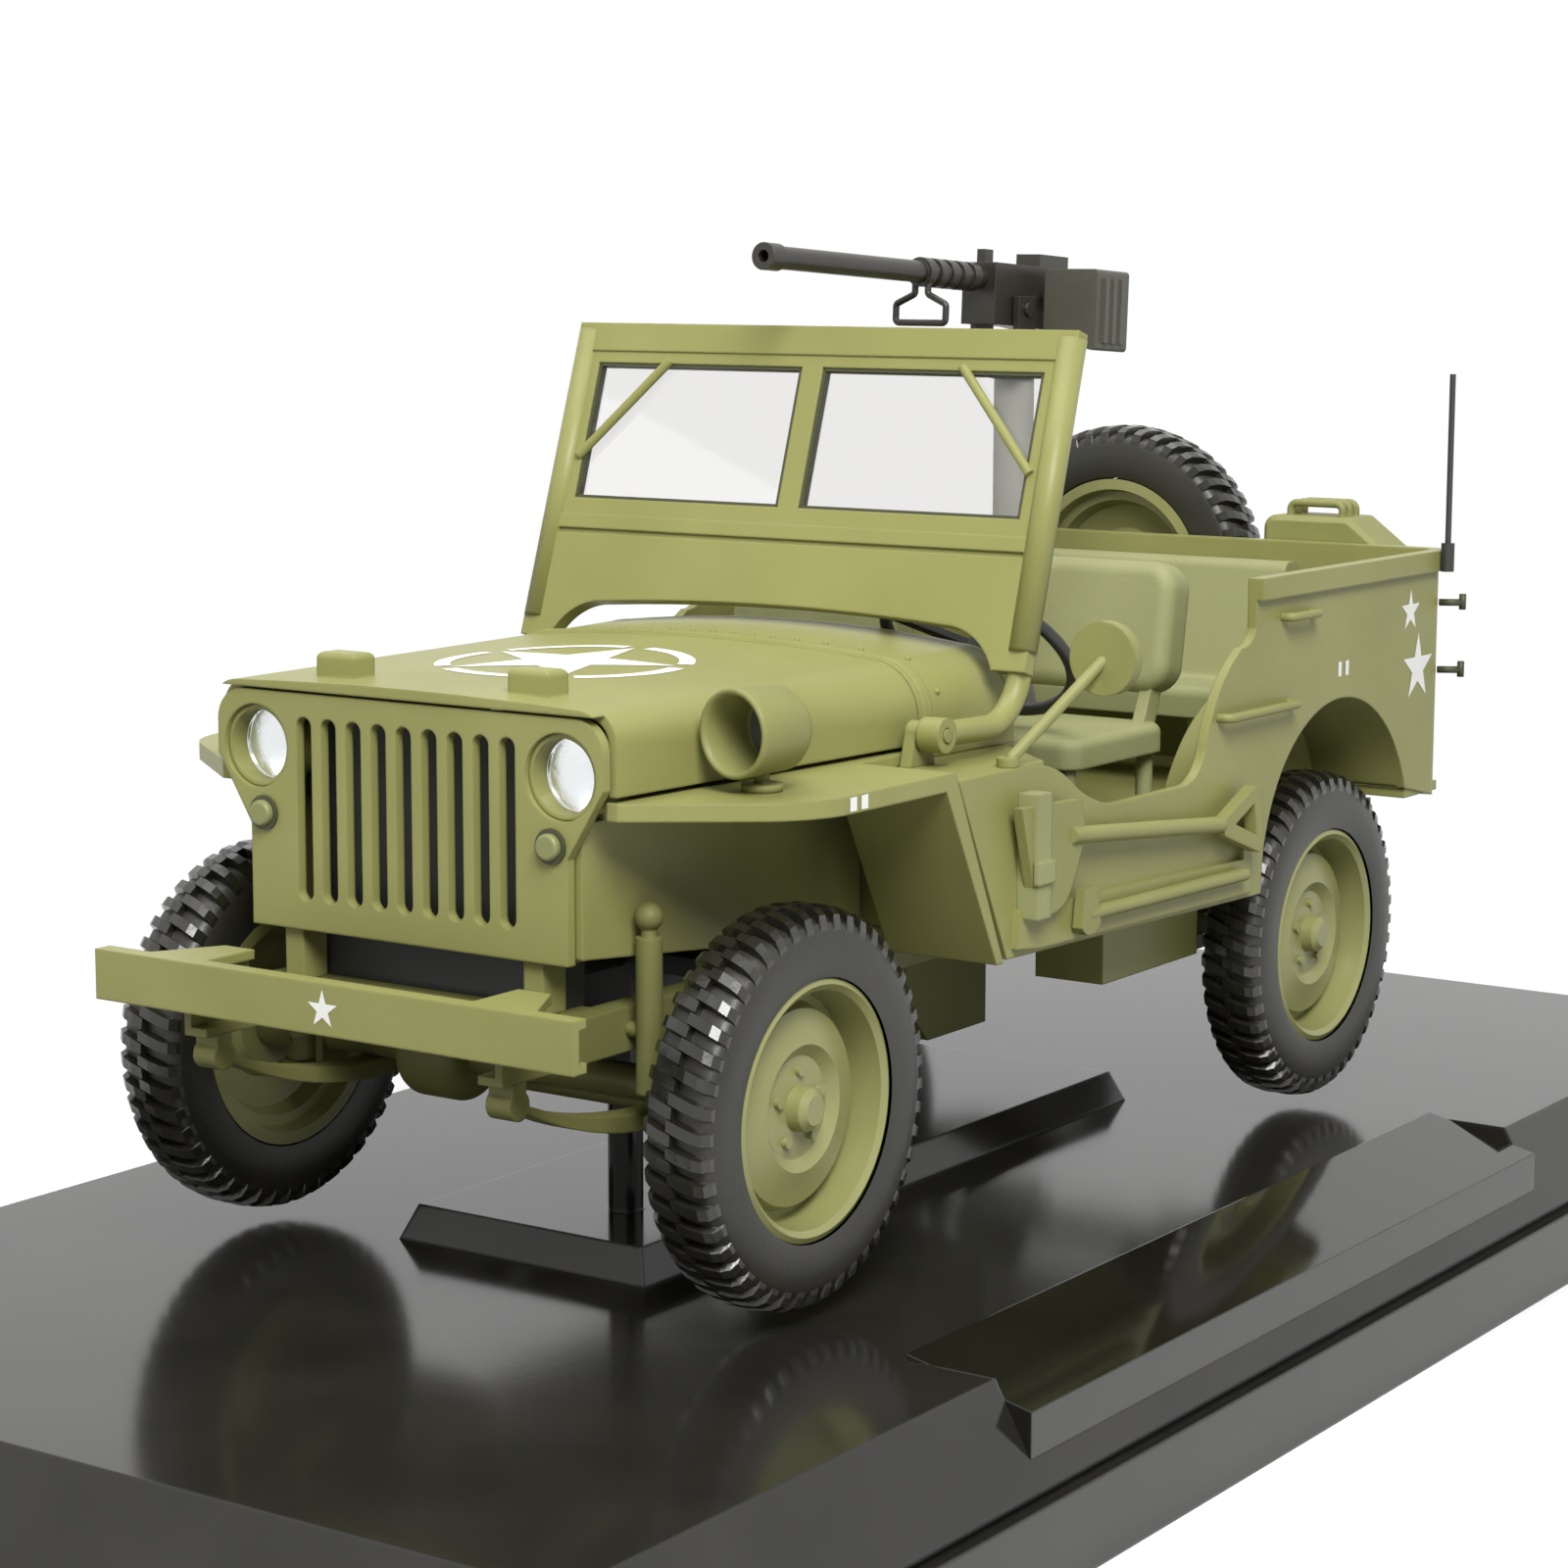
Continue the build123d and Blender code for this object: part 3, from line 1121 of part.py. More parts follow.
with BuildPart() as floor_controls:
    for lever_x, lever_back, lean, length in LEVERS:
        base = spot(lever_x, lever_back, FLOOR_TOP + 0.6)
        tip = spot(lever_x, lever_back + lean, FLOOR_TOP + length)
        add(rod(base, tip, 0.6))
        with Locations(tip):
            Sphere(1.1)
    with BuildSketch(level_plane(FLOOR_TOP)):
        with Locations((-3.0, 53.0)):
            Rectangle(10.0, 9.0)
    extrude(amount=1.2)
    for pedal_x, pedal_back in PEDALS:
        with BuildSketch(side_plane(pedal_x - 1.5)):
            with BuildLine():
                Polyline(
                    (pedal_back - 3.5, FLOOR_TOP),
                    (pedal_back - 2.3, FLOOR_TOP),
                    (pedal_back + 1.0, FLOOR_TOP + 6.0),
                    (pedal_back, FLOOR_TOP + 6.4),
                    close=True,
                )
            make_face()
        extrude(amount=3.0)
finish(floor_controls, "floor_controls")

# Front seats: a thin cushion and a padded back, joined by two side posts
SEAT_HALF_WIDTH = 12.0
SEAT_FRONT = 62.0
SEAT_BACK = 84.0
CUSHION_TOP = 49.6
CUSHION_THICK = 3.4
BACKREST_BOTTOM = 53.2
BACKREST_TOP = 68.6
BACKREST_THICK = 6.0
BACKREST_LEAN = 2.6
BACKREST_FRONT = 81.5
SEAT_LEG = 1.0
POST_HALF = 0.8

for name, seat_x in (("driver_seat", 19.0), ("passenger_seat", -19.0)):
    with BuildPart() as seat:
        with BuildSketch(level_plane(CUSHION_TOP - CUSHION_THICK)):
            with Locations((seat_x, (SEAT_FRONT + SEAT_BACK) / 2)):
                RectangleRounded(2 * SEAT_HALF_WIDTH, SEAT_BACK - SEAT_FRONT, 2.4)
        extrude(amount=CUSHION_THICK)
        fillet(seat.part.faces().sort_by(Axis.Z)[-1].edges(), radius=1.2)
        # The back leans rearward as it rises
        lean = atan2(BACKREST_LEAN, BACKREST_TOP - BACKREST_BOTTOM)
        back_plane = Plane(origin=spot(seat_x, BACKREST_FRONT, BACKREST_BOTTOM), x_dir=(1, 0, 0),
                           z_dir=(0, cos(lean), -sin(lean)))
        with BuildSketch(back_plane, mode=Mode.PRIVATE) as back_shape:
            with Locations((0, -(BACKREST_TOP - BACKREST_BOTTOM) / 2)):
                RectangleRounded(2 * SEAT_HALF_WIDTH + 0.6, BACKREST_TOP - BACKREST_BOTTOM, 3.4)
        with BuildPart(mode=Mode.PRIVATE) as cushion:
            extrude(back_shape.sketch, amount=BACKREST_THICK)
            fillet(cushion.part.faces().filter_by(GeomType.PLANE).filter_by(
                lambda f: abs(abs(f.normal_at().Y) - cos(lean)) < 0.01).edges(), radius=1.8)
        add(cushion.part)
        for side in (-1, 1):
            with BuildSketch(side_plane(seat_x + side * (SEAT_HALF_WIDTH - 2.4) - POST_HALF)):
                with BuildLine():
                    Polyline(
                        (SEAT_BACK - 4.0, CUSHION_TOP - 2.4),
                        (SEAT_BACK - 1.0, CUSHION_TOP - 2.4),
                        (BACKREST_FRONT + 4.6, BACKREST_BOTTOM + 2.4),
                        (BACKREST_FRONT + 2.2, BACKREST_BOTTOM + 2.4),
                        close=True,
                    )
                make_face()
            extrude(amount=2 * POST_HALF)
        with BuildSketch(level_plane(FLOOR_TOP)):
            for leg_x in (-SEAT_HALF_WIDTH + 2.0, SEAT_HALF_WIDTH - 2.0):
                for leg_back in (SEAT_FRONT + 2.0, SEAT_BACK - 2.0):
                    with Locations((seat_x + leg_x, leg_back)):
                        Circle(SEAT_LEG)
        extrude(amount=CUSHION_TOP - CUSHION_THICK - FLOOR_TOP + 0.5)
    finish(seat, name)

BENCH_HALF_WIDTH = WELL_INNER_X - 4.4
BENCH_FRONT = 113.0
BENCH_BACK = 133.0
BENCH_TOP = 50.0

with BuildPart() as rear_bench:
    with BuildSketch(side_plane(-BENCH_HALF_WIDTH)):
        with BuildLine():
            FilletPolyline(
                (BENCH_FRONT, BENCH_TOP - 4.0),
                (BENCH_FRONT, BENCH_TOP),
                (BENCH_BACK - 4.0, BENCH_TOP - 1.0),
                (BENCH_BACK - 1.0, 64.5),
                (BENCH_BACK + 3.0, 64.5),
                (BENCH_BACK, BENCH_TOP - 4.0),
                radius=(1.4, 1.0, 1.4, 1.4),
            )
            Line((BENCH_BACK, BENCH_TOP - 4.0), (BENCH_FRONT, BENCH_TOP - 4.0))
        make_face()
    extrude(amount=2 * BENCH_HALF_WIDTH)
    with BuildSketch(level_plane(REAR_FLOOR_TOP)):
        for leg_x in (-18.0, 18.0):
            for leg_back in (BENCH_FRONT + 2.5, BENCH_BACK - 2.5):
                with Locations((leg_x, leg_back)):
                    Circle(SEAT_LEG)
    extrude(amount=BENCH_TOP - 4.0 - REAR_FLOOR_TOP + 0.5)
finish(rear_bench, "rear_bench")

# Windscreen: tube legs from the side pivots, lower panel, inner frame round the panes, and corner braces
PIVOT_BACK = 29.8
PIVOT_HEIGHT = 54.0
LEG_X = 32.8
LEG_RADIUS = 1.35
LEG_BEND = (45.6, 53.5)
LEG_BEND_RADIUS = 6.5
SCREEN_BASE = (46.9, 63.2)
SCREEN_TOP = (57.2, 95.4)
SCREEN_HALF = 34.6
SCREEN_TOP_HALF = 34.2
PANEL_TOP_SHARE = 0.31
BEAM = 3.4
STILE = 2.6
SCREEN_THICK = 2.0
screen_rake = atan2(SCREEN_TOP[0] - SCREEN_BASE[0], SCREEN_TOP[1] - SCREEN_BASE[1])
screen_length = hypot(SCREEN_TOP[0] - SCREEN_BASE[0], SCREEN_TOP[1] - SCREEN_BASE[1])
PANEL_HEIGHT = PANEL_TOP_SHARE * screen_length
INNER_BAR = 1.4
PANEL_FOOT = -4.4
PANEL_ARCH = (30.9, 7.4, 0.2, 1.1)
GROOVE_HEIGHT = 0.6


# The screen's own plane: its Y runs up the raked screen, its normal faces forward
def screen_plane(forward):
    origin = Vector(*spot(0, SCREEN_BASE[0], SCREEN_BASE[1]))
    normal = Vector(0, -cos(screen_rake), sin(screen_rake))
    return Plane(origin=origin + normal * forward, x_dir=(1, 0, 0), z_dir=normal)


GLASS_LOW = PANEL_HEIGHT + INNER_BAR + 0.6
GLASS_HIGH = screen_length - BEAM - INNER_BAR
GLASS_HALF = SCREEN_HALF - STILE - INNER_BAR
GLASS_THICK = 0.6

with BuildPart() as windscreen_frame:
    # Outer frame and lower panel
    with BuildSketch(screen_plane(-SCREEN_THICK / 2)):
        with BuildLine():
            Polyline(
                (-SCREEN_HALF, PANEL_FOOT),
                (SCREEN_HALF, PANEL_FOOT),
                (SCREEN_TOP_HALF, screen_length),
                (-SCREEN_TOP_HALF, screen_length),
                close=True,
            )
        make_face()
        # The panel's lower edge arches over the cowl
        add(hood_outline(*PANEL_ARCH, PANEL_FOOT - 5.0))
        make_face(mode=Mode.SUBTRACT)
        with Locations((0, (PANEL_HEIGHT + screen_length - BEAM) / 2)):
            Rectangle(2 * (SCREEN_HALF - STILE), screen_length - BEAM - PANEL_HEIGHT, mode=Mode.SUBTRACT)
    extrude(amount=SCREEN_THICK)
    # A groove marks the frame off from the panel
    with BuildSketch(screen_plane(SCREEN_THICK / 2 - 0.4)):
        with Locations((0, PANEL_HEIGHT - 2.0)):
            Rectangle(2 * (SCREEN_HALF - STILE), GROOVE_HEIGHT)
    extrude(amount=1.0, mode=Mode.SUBTRACT)
    # Inner frame round two panes, with a centre bar
    with BuildSketch(screen_plane(-0.8)):
        with Locations((0, (PANEL_HEIGHT + screen_length - BEAM) / 2)):
            Rectangle(2 * (SCREEN_HALF - STILE) + 0.2, screen_length - BEAM - PANEL_HEIGHT + 0.2)
        with Locations((0, (GLASS_LOW + GLASS_HIGH) / 2)):
            Rectangle(2 * GLASS_HALF, GLASS_HIGH - GLASS_LOW, mode=Mode.SUBTRACT)
            Rectangle(2 * INNER_BAR, GLASS_HIGH - GLASS_LOW)
    extrude(amount=1.6)
    # Braces across the two top corners, just in front of the panes
    for side in (-1, 1):
        low_end = screen_plane(0.9) * Location((side * (GLASS_HALF + 0.4), GLASS_HIGH - 11.5, 0))
        high_end = screen_plane(0.9) * Location((side * (GLASS_HALF - 10.5), GLASS_HIGH + 0.4, 0))
        add(rod(tuple(low_end.position), tuple(high_end.position), 0.55))
    # Tube legs curve down outside the cowl and run forward to the pivots
    for side in (-1, 1):
        add(tube_along(
            (
                spot(side * LEG_X, PIVOT_BACK, PIVOT_HEIGHT),
                spot(side * LEG_X, *LEG_BEND),
                spot(side * (SCREEN_HALF - 1.4), SCREEN_BASE[0] - 0.1, SCREEN_BASE[1] - 0.6),
            ),
            LEG_BEND_RADIUS,
            LEG_RADIUS,
        ))
    # A flat eye ends each leg at its pivot
    for side in (-1, 1):
        with BuildSketch(side_plane(side * LEG_X - LEG_RADIUS)):
            with Locations((PIVOT_BACK, PIVOT_HEIGHT)):
                Circle(1.9)
        extrude(amount=2 * LEG_RADIUS)
        with BuildSketch(side_plane(side * LEG_X - 2.0)):
            with Locations((PIVOT_BACK, PIVOT_HEIGHT)):
                Circle(0.8)
        extrude(amount=4.0, mode=Mode.SUBTRACT)
finish(windscreen_frame, "windscreen_frame")

with BuildPart() as windscreen_glass:
    with BuildSketch(screen_plane(-GLASS_THICK / 2)):
        for side in (-1, 1):
            with Locations((side * (GLASS_HALF + INNER_BAR) / 2, (GLASS_LOW + GLASS_HIGH) / 2)):
                Rectangle(GLASS_HALF - INNER_BAR - 0.1, GLASS_HIGH - GLASS_LOW - 0.1)
    extrude(amount=GLASS_THICK)
finish(windscreen_glass, "windscreen_glass")

# Brackets on the cowl shelf carry the windscreen's pivot pins
PIN_LENGTH = 4.6

with BuildPart() as screen_brackets:
    for side in (-1, 1):
        inner = LEG_X - LEG_RADIUS - SEAM - 1.4
        with BuildSketch(side_plane(side * (inner + 0.7) - 0.7)):
            with BuildLine():
                Polyline(
                    (PIVOT_BACK - 2.4, SHELF_TOP),
                    (PIVOT_BACK + 2.4, SHELF_TOP),
                    (PIVOT_BACK + 1.4, PIVOT_HEIGHT),
                )
                ThreePointArc(
                    (PIVOT_BACK + 1.4, PIVOT_HEIGHT),
                    (PIVOT_BACK, PIVOT_HEIGHT + 1.4),
                    (PIVOT_BACK - 1.4, PIVOT_HEIGHT),
                )
                Line((PIVOT_BACK - 1.4, PIVOT_HEIGHT), (PIVOT_BACK - 2.4, SHELF_TOP))
            make_face()
        extrude(amount=1.4)
        with BuildSketch(side_plane(side * (inner + PIN_LENGTH / 2) - PIN_LENGTH / 2)):
            with Locations((PIVOT_BACK, PIVOT_HEIGHT)):
                Circle(0.8 - RUN_CLEARANCE)
        extrude(amount=PIN_LENGTH)
finish(screen_brackets, "screen_brackets")

# Round mirror on an arm from the left shelf
MIRROR_CENTRE = (TUB_HALF_WIDTH + 3.9, 46.2, 61.4)
MIRROR_RADIUS = 4.0
MIRROR_THICK = 1.6
MIRROR_FOOT = (TUB_HALF_WIDTH - 1.5, 34.4, SHELF_TOP)

with BuildPart() as side_mirror:
    arm_foot = spot(MIRROR_FOOT[0], MIRROR_FOOT[1], SHELF_TOP + 0.5)
    arm_head = spot(MIRROR_CENTRE[0], MIRROR_CENTRE[1] - 1.0, MIRROR_CENTRE[2])
    add(rod(arm_foot, arm_head, 0.65))
    with BuildSketch(cross_plane(MIRROR_CENTRE[1])):
        with Locations((MIRROR_CENTRE[0], MIRROR_CENTRE[2])):
            Circle(MIRROR_RADIUS)
    extrude(amount=MIRROR_THICK)
    fillet(side_mirror.part.edges().filter_by(GeomType.CIRCLE).group_by(Axis.Y)[0], radius=0.6)
    with Locations(spot(*MIRROR_FOOT)):
        Cylinder(1.2, 1.0, align=(Align.CENTER, Align.CENTER, Align.MIN))
finish(side_mirror, "side_mirror")

# Shovel and axe strapped to the left side
TOOL_X = TUB_HALF_WIDTH + 0.95
with BuildPart() as shovel:
    with BuildSketch(side_plane(TOOL_X - 0.05)):
        with BuildLine():
            Polyline((31.4, 46.8), (43.8, 46.3), (45.0, 42.6), (42.4, 37.6))
            ThreePointArc((42.4, 37.6), (38.6, 34.8), (34.6, 36.0))
            Line((34.6, 36.0), (31.4, 46.8))
        make_face()
    extrude(amount=1.2)
    add(rod(spot(TOOL_X + 0.9, 42.0, 42.6), spot(TOOL_X + 0.9, 76.4, 39.3), 0.95))
    with BuildSketch(side_plane(TOOL_X + 0.1)):
        with BuildLine():
            Polyline((75.4, 39.6), (76.2, 38.0), (84.8, 35.0), (86.0, 36.2), (85.0, 42.4), (83.6, 43.0),
                     close=True)
        make_face()
        with BuildLine():
            Polyline((78.6, 39.1), (84.0, 37.1), (83.3, 41.0), close=True)
        make_face(mode=Mode.SUBTRACT)
    extrude(amount=1.6)
finish(shovel, "shovel")

with BuildPart() as axe:
    add(rod(spot(TOOL_X + 0.7, 46.0, 33.4), spot(TOOL_X + 0.7, 83.0, 32.6), 0.8))
    with BuildSketch(side_plane(TOOL_X + 0.1)):
        with BuildLine():
            Polyline((44.6, 36.4), (47.4, 36.4), (48.0, 32.2))
            ThreePointArc((48.0, 32.2), (46.0, 31.2), (44.0, 32.2))
            Line((44.0, 32.2), (44.6, 36.4))
        make_face()
    extrude(amount=1.3)
finish(axe, "axe")

# Small fittings riveted to the body: grab handles, strap loops, cowl handles
HANDLE_RADIUS = 0.55
HANDLES = (
    # side, back from, back to, height, stand-off
    (1, 78.8, 96.4, 51.2, 1.6),
    (-1, 78.8, 96.4, 51.2, 1.6),
    (1, 94.6, 101.8, 61.6, 1.5),
    (-1, 94.6, 101.8, 61.6, 1.5),
)

with BuildPart() as body_handles:
    for side, start, stop, level, stand_off in HANDLES:
        wall = side * TUB_HALF_WIDTH
        outer = side * (TUB_HALF_WIDTH + stand_off)
        add(tube_along(
            (spot(wall, start, level), spot(outer, start, level), spot(outer, stop, level), spot(wall, stop, level)),
            0.9,
            HANDLE_RADIUS,
        ))
finish(body_handles, "body_handles")

# Fuel can on the tail, left of the spare wheel
CAN_X = 22.5
CAN_HALF_WIDTH = 9.2
CAN_FRONT = TUB_BACK + RAIL_PROUD + 0.3
CAN_DEPTH = 8.0
CAN_BOTTOM = 45.0
CAN_TOP = 70.8

with BuildPart() as fuel_can:
    with BuildSketch(cross_plane(CAN_FRONT + CAN_DEPTH)):
        with BuildLine():
            FilletPolyline(
                (CAN_X - CAN_HALF_WIDTH, CAN_BOTTOM),
                (CAN_X - CAN_HALF_WIDTH, CAN_TOP - 1.0),
                (CAN_X + CAN_HALF_WIDTH * 0.35, CAN_TOP - 1.0),
                (CAN_X + CAN_HALF_WIDTH, CAN_TOP - 5.5),
                (CAN_X + CAN_HALF_WIDTH, CAN_BOTTOM),
                radius=(1.8, 1.2, 1.2),
            )
            Line((CAN_X + CAN_HALF_WIDTH, CAN_BOTTOM), (CAN_X - CAN_HALF_WIDTH, CAN_BOTTOM))
        make_face()
    extrude(amount=CAN_DEPTH)
    chamfer(fuel_can.part.faces().filter_by(Axis.Y).edges(), length=0.7)
    # Three handles on top
    for handle_y in (2.0, 4.0, 6.0):
        add(tube_along(
            (
                spot(CAN_X - 6.0, CAN_FRONT + handle_y, CAN_TOP - 1.6),
                spot(CAN_X - 6.0, CAN_FRONT + handle_y, CAN_TOP + 0.6),
                spot(CAN_X + 1.5, CAN_FRONT + handle_y, CAN_TOP + 0.6),
                spot(CAN_X + 1.5, CAN_FRONT + handle_y, CAN_TOP - 1.6),
            ),
            0.9,
            0.5,
        ))
finish(fuel_can, "fuel_can")

# Tail lamps, and two bumperettes with the towing hook on the rear cross member
with BuildPart() as tail_lamps:
    for side in (-1, 1):
        with BuildSketch(cross_plane(TUB_BACK + 1.2)):
            with Locations((side * 35.5, 46.5)):
                Circle(1.7)
        extrude(amount=1.2)
finish(tail_lamps, "tail_lamps")

BUMPERETTE_BACK = 146.5
with BuildPart() as rear_fittings:
    for side in (-1, 1):
        with BuildSketch(side_plane(side * 24.0 - 4.0)):
            with BuildLine():
                Polyline(
                    (FRAME_BACK + 0.05, RAIL_BOTTOM + 0.5),
                    (BUMPERETTE_BACK, RAIL_BOTTOM + 0.5),
                    (BUMPERETTE_BACK, RAIL_TOP + 2.5),
                    (BUMPERETTE_BACK - 1.2, RAIL_TOP + 2.5),
                    (BUMPERETTE_BACK - 1.2, RAIL_BOTTOM + 1.7),
                    (FRAME_BACK + 0.05, RAIL_BOTTOM + 1.7),
                    close=True,
                )
            make_face()
        extrude(amount=8.0)
    with BuildSketch(cross_plane(BUMPERETTE_BACK - 2.0)):
        with Locations((0, RAIL_BOTTOM + RAIL_HEIGHT / 2)):
            Rectangle(3.0, 3.0)
    extrude(amount=BUMPERETTE_BACK - 2.0 - FRAME_BACK - 0.05)
    with BuildSketch(level_plane(RAIL_BOTTOM + 1.0)):
        with Locations((0, BUMPERETTE_BACK - 0.6)):
            Circle(2.2)
            Circle(1.0, mode=Mode.SUBTRACT)
    extrude(amount=2.0)
finish(rear_fittings, "rear_fittings")

# Whip aerial on the left rear corner
AERIAL_X = TUB_HALF_WIDTH + RAIL_PROUD + 0.9
AERIAL_BACK = 137.5
AERIAL_TOP = 89.0

with BuildPart() as aerial:
    with BuildSketch(level_plane(TUB_TOP - RAIL_DEPTH)):
        with Locations((AERIAL_X, AERIAL_BACK)):
            Circle(0.85)
    extrude(amount=RAIL_DEPTH + 1.0)
    with BuildSketch(level_plane(TUB_TOP + 1.0)):
        with Locations((AERIAL_X, AERIAL_BACK)):
            Circle(0.38)
    extrude(amount=AERIAL_TOP - TUB_TOP - 1.0)
finish(aerial, "aerial")

# Gun: pedestal on the rear floor, swivelling cradle, and the gun itself on its trunnion
GUN_BACK = 100.0
PEDESTAL_RADIUS = 2.5
PEDESTAL_TOP = 88.5
TRUNNION = (GUN_BACK - 3.0, 97.2)
TRUNNION_RADIUS = 0.9
CRADLE_HALF = 2.6
CRADLE_WALL = 0.9
CRADLE_HUB_HEIGHT = 2.0
GUN_TILT = 3.2

with BuildPart() as gun_pedestal:
    with BuildSketch(level_plane(REAR_FLOOR_TOP)):
        with Locations((0, GUN_BACK)):
            Circle(6.0)
    extrude(amount=1.0)
    with BuildSketch(level_plane(REAR_FLOOR_TOP)):
        with Locations((0, GUN_BACK)):
            Circle(PEDESTAL_RADIUS)
    extrude(amount=PEDESTAL_TOP - REAR_FLOOR_TOP)
    # Three braces stand on the floor round the post
    for brace_angle in (90, 210, 330):
        foot = (9.0 * cos(radians(brace_angle)), GUN_BACK + 9.0 * sin(radians(brace_angle)))
        add(rod(spot(foot[0], foot[1], REAR_FLOOR_TOP), spot(0, GUN_BACK, 60.0), 0.8))
    split(bisect_by=level_plane(REAR_FLOOR_TOP), keep=Keep.TOP)
finish(gun_pedestal, "gun_pedestal")

with BuildPart() as gun_cradle:
    with BuildSketch(level_plane(PEDESTAL_TOP + RUN_CLEARANCE)):
        with Locations((0, GUN_BACK)):
            Circle(PEDESTAL_RADIUS + 0.5)
    extrude(amount=CRADLE_HUB_HEIGHT)
    with BuildSketch(cross_plane(GUN_BACK - 1.0)):
        with BuildLine():
            Polyline(
                (-CRADLE_HALF - CRADLE_WALL, TRUNNION[1] + 1.6),
                (-CRADLE_HALF - CRADLE_WALL, PEDESTAL_TOP + CRADLE_HUB_HEIGHT - 0.8),
                (CRADLE_HALF + CRADLE_WALL, PEDESTAL_TOP + CRADLE_HUB_HEIGHT - 0.8),
                (CRADLE_HALF + CRADLE_WALL, TRUNNION[1] + 1.6),
                (CRADLE_HALF, TRUNNION[1] + 1.6),
                (CRADLE_HALF, PEDESTAL_TOP + CRADLE_HUB_HEIGHT + 0.4),
                (-CRADLE_HALF, PEDESTAL_TOP + CRADLE_HUB_HEIGHT + 0.4),
                (-CRADLE_HALF, TRUNNION[1] + 1.6),
                close=True,
            )
        make_face()
    extrude(amount=4.0)
    # The ears are drilled for the trunnion, with running clearance
    with BuildSketch(side_plane(-CRADLE_HALF - CRADLE_WALL - 1.0)):
        with Locations(TRUNNION):
            Circle(TRUNNION_RADIUS + RUN_CLEARANCE)
    extrude(amount=2 * (CRADLE_HALF + CRADLE_WALL + 1.0), mode=Mode.SUBTRACT)
finish(gun_cradle, "gun_cradle")

BARREL_AXIS = 100.7
MUZZLE = 44.8
JACKET_RADIUS = 1.3
RECEIVER_FRONT = 91.0
RECEIVER_BACK = 114.0
RECEIVER_HALF = CRADLE_HALF - 0.25
RING_COUNT = 5
RING_RADIUS = 1.75
RING_FRONT = 76.4
RING_BACK = 89.2
STIRRUP_BACK = 78.0
STIRRUP_HALF = 3.5
STIRRUP_DROP = 6.0


# The gun is drawn level, then raised about its trunnion to the angle it rests at
def raise_gun(level_part):
    return level_part.rotate(Axis(spot(0, *TRUNNION), (-1, 0, 0)), GUN_TILT)


with BuildPart() as gun_barrel:
    with BuildSketch(Plane(origin=spot(0, 0, BARREL_AXIS), x_dir=(1, 0, 0), z_dir=(0, 0, 1))):
        with BuildLine():
            Polyline(
                (0.7, MUZZLE),
                (1.55, MUZZLE),
                (1.55, MUZZLE + 2.6),
                (JACKET_RADIUS, MUZZLE + 3.0),
                (JACKET_RADIUS, RECEIVER_FRONT),
                (0.0, RECEIVER_FRONT),
                (0.0, MUZZLE + 5.0),
                (0.7, MUZZLE + 5.0),
                close=True,
            )
        make_face()
    revolve(axis=Axis(spot(0, 0, BARREL_AXIS), (0, 1, 0)))
    # Rings of the cooling jacket ahead of the receiver
    for ring in range(RING_COUNT):
        ring_back = RING_FRONT + (RING_BACK - RING_FRONT) * (ring + 1) / RING_COUNT
        with BuildSketch(Plane(origin=spot(0, ring_back, BARREL_AXIS), x_dir=(1, 0, 0), z_dir=(0, -1, 0))):
            Circle(RING_RADIUS)
        extrude(amount=(RING_BACK - RING_FRONT) / RING_COUNT * 0.62)
    # Carrying stirrup below the barrel
    add(tube_along(
        (
            spot(-0.9, STIRRUP_BACK, BARREL_AXIS - 1.0),
            spot(-0.9, STIRRUP_BACK, BARREL_AXIS - 2.6),
            spot(-STIRRUP_HALF, STIRRUP_BACK, BARREL_AXIS - 3.8),
            spot(-STIRRUP_HALF, STIRRUP_BACK, BARREL_AXIS - STIRRUP_DROP),
            spot(STIRRUP_HALF, STIRRUP_BACK, BARREL_AXIS - STIRRUP_DROP),
            spot(STIRRUP_HALF, STIRRUP_BACK, BARREL_AXIS - 3.8),
            spot(0.9, STIRRUP_BACK, BARREL_AXIS - 2.6),
            spot(0.9, STIRRUP_BACK, BARREL_AXIS - 1.0),
        ),
        0.5,
        0.4,
    ))
gun_barrel.part = raise_gun(gun_barrel.part)
finish(gun_barrel, "gun_barrel")

with BuildPart() as gun_receiver:
    with BuildSketch(side_plane(-RECEIVER_HALF)):
        with BuildLine():
            Polyline(
                (RECEIVER_FRONT, BARREL_AXIS + 1.9),
                (RECEIVER_BACK, BARREL_AXIS + 1.9),
                (RECEIVER_BACK, BARREL_AXIS - 6.6),
                (RECEIVER_FRONT + 9.0, BARREL_AXIS - 5.6),
                (RECEIVER_FRONT, BARREL_AXIS - 5.6),
                close=True,
            )
        make_face()
    extrude(amount=2 * RECEIVER_HALF)
    # Front sight, grips plate and trunnion pin
    with BuildSketch(level_plane(BARREL_AXIS + 1.9)):
        with Locations((0, RECEIVER_FRONT + 1.2)):
            Rectangle(1.2, 1.8)
        with Locations((0, RECEIVER_FRONT + 15.0)):
            Rectangle(3.4, 7.0)
    extrude(amount=1.6)
    with BuildSketch(side_plane(-2.0)):
        with Locations((RECEIVER_BACK + 2.2, BARREL_AXIS - 3.2)):
            Rectangle(4.4, 1.2)
            with Locations((1.7, 0)):
                Rectangle(1.2, 8.0)
    extrude(amount=4.0)
    with BuildSketch(side_plane(-CRADLE_HALF - CRADLE_WALL - 0.4)):
        with Locations(TRUNNION):
            Circle(TRUNNION_RADIUS)
    extrude(amount=2 * (CRADLE_HALF + CRADLE_WALL + 0.4))
gun_receiver.part = raise_gun(gun_receiver.part)
finish(gun_receiver, "gun_receiver")

# Ammunition box on the gun's left side, with pressed ribs on its outer face
BOX_INNER_X = CRADLE_HALF + CRADLE_WALL + 0.5
BOX_OUTER_X = 11.5
BOX_FRONT = 100.0
BOX_BACK = 107.8
BOX_RIBS = 3

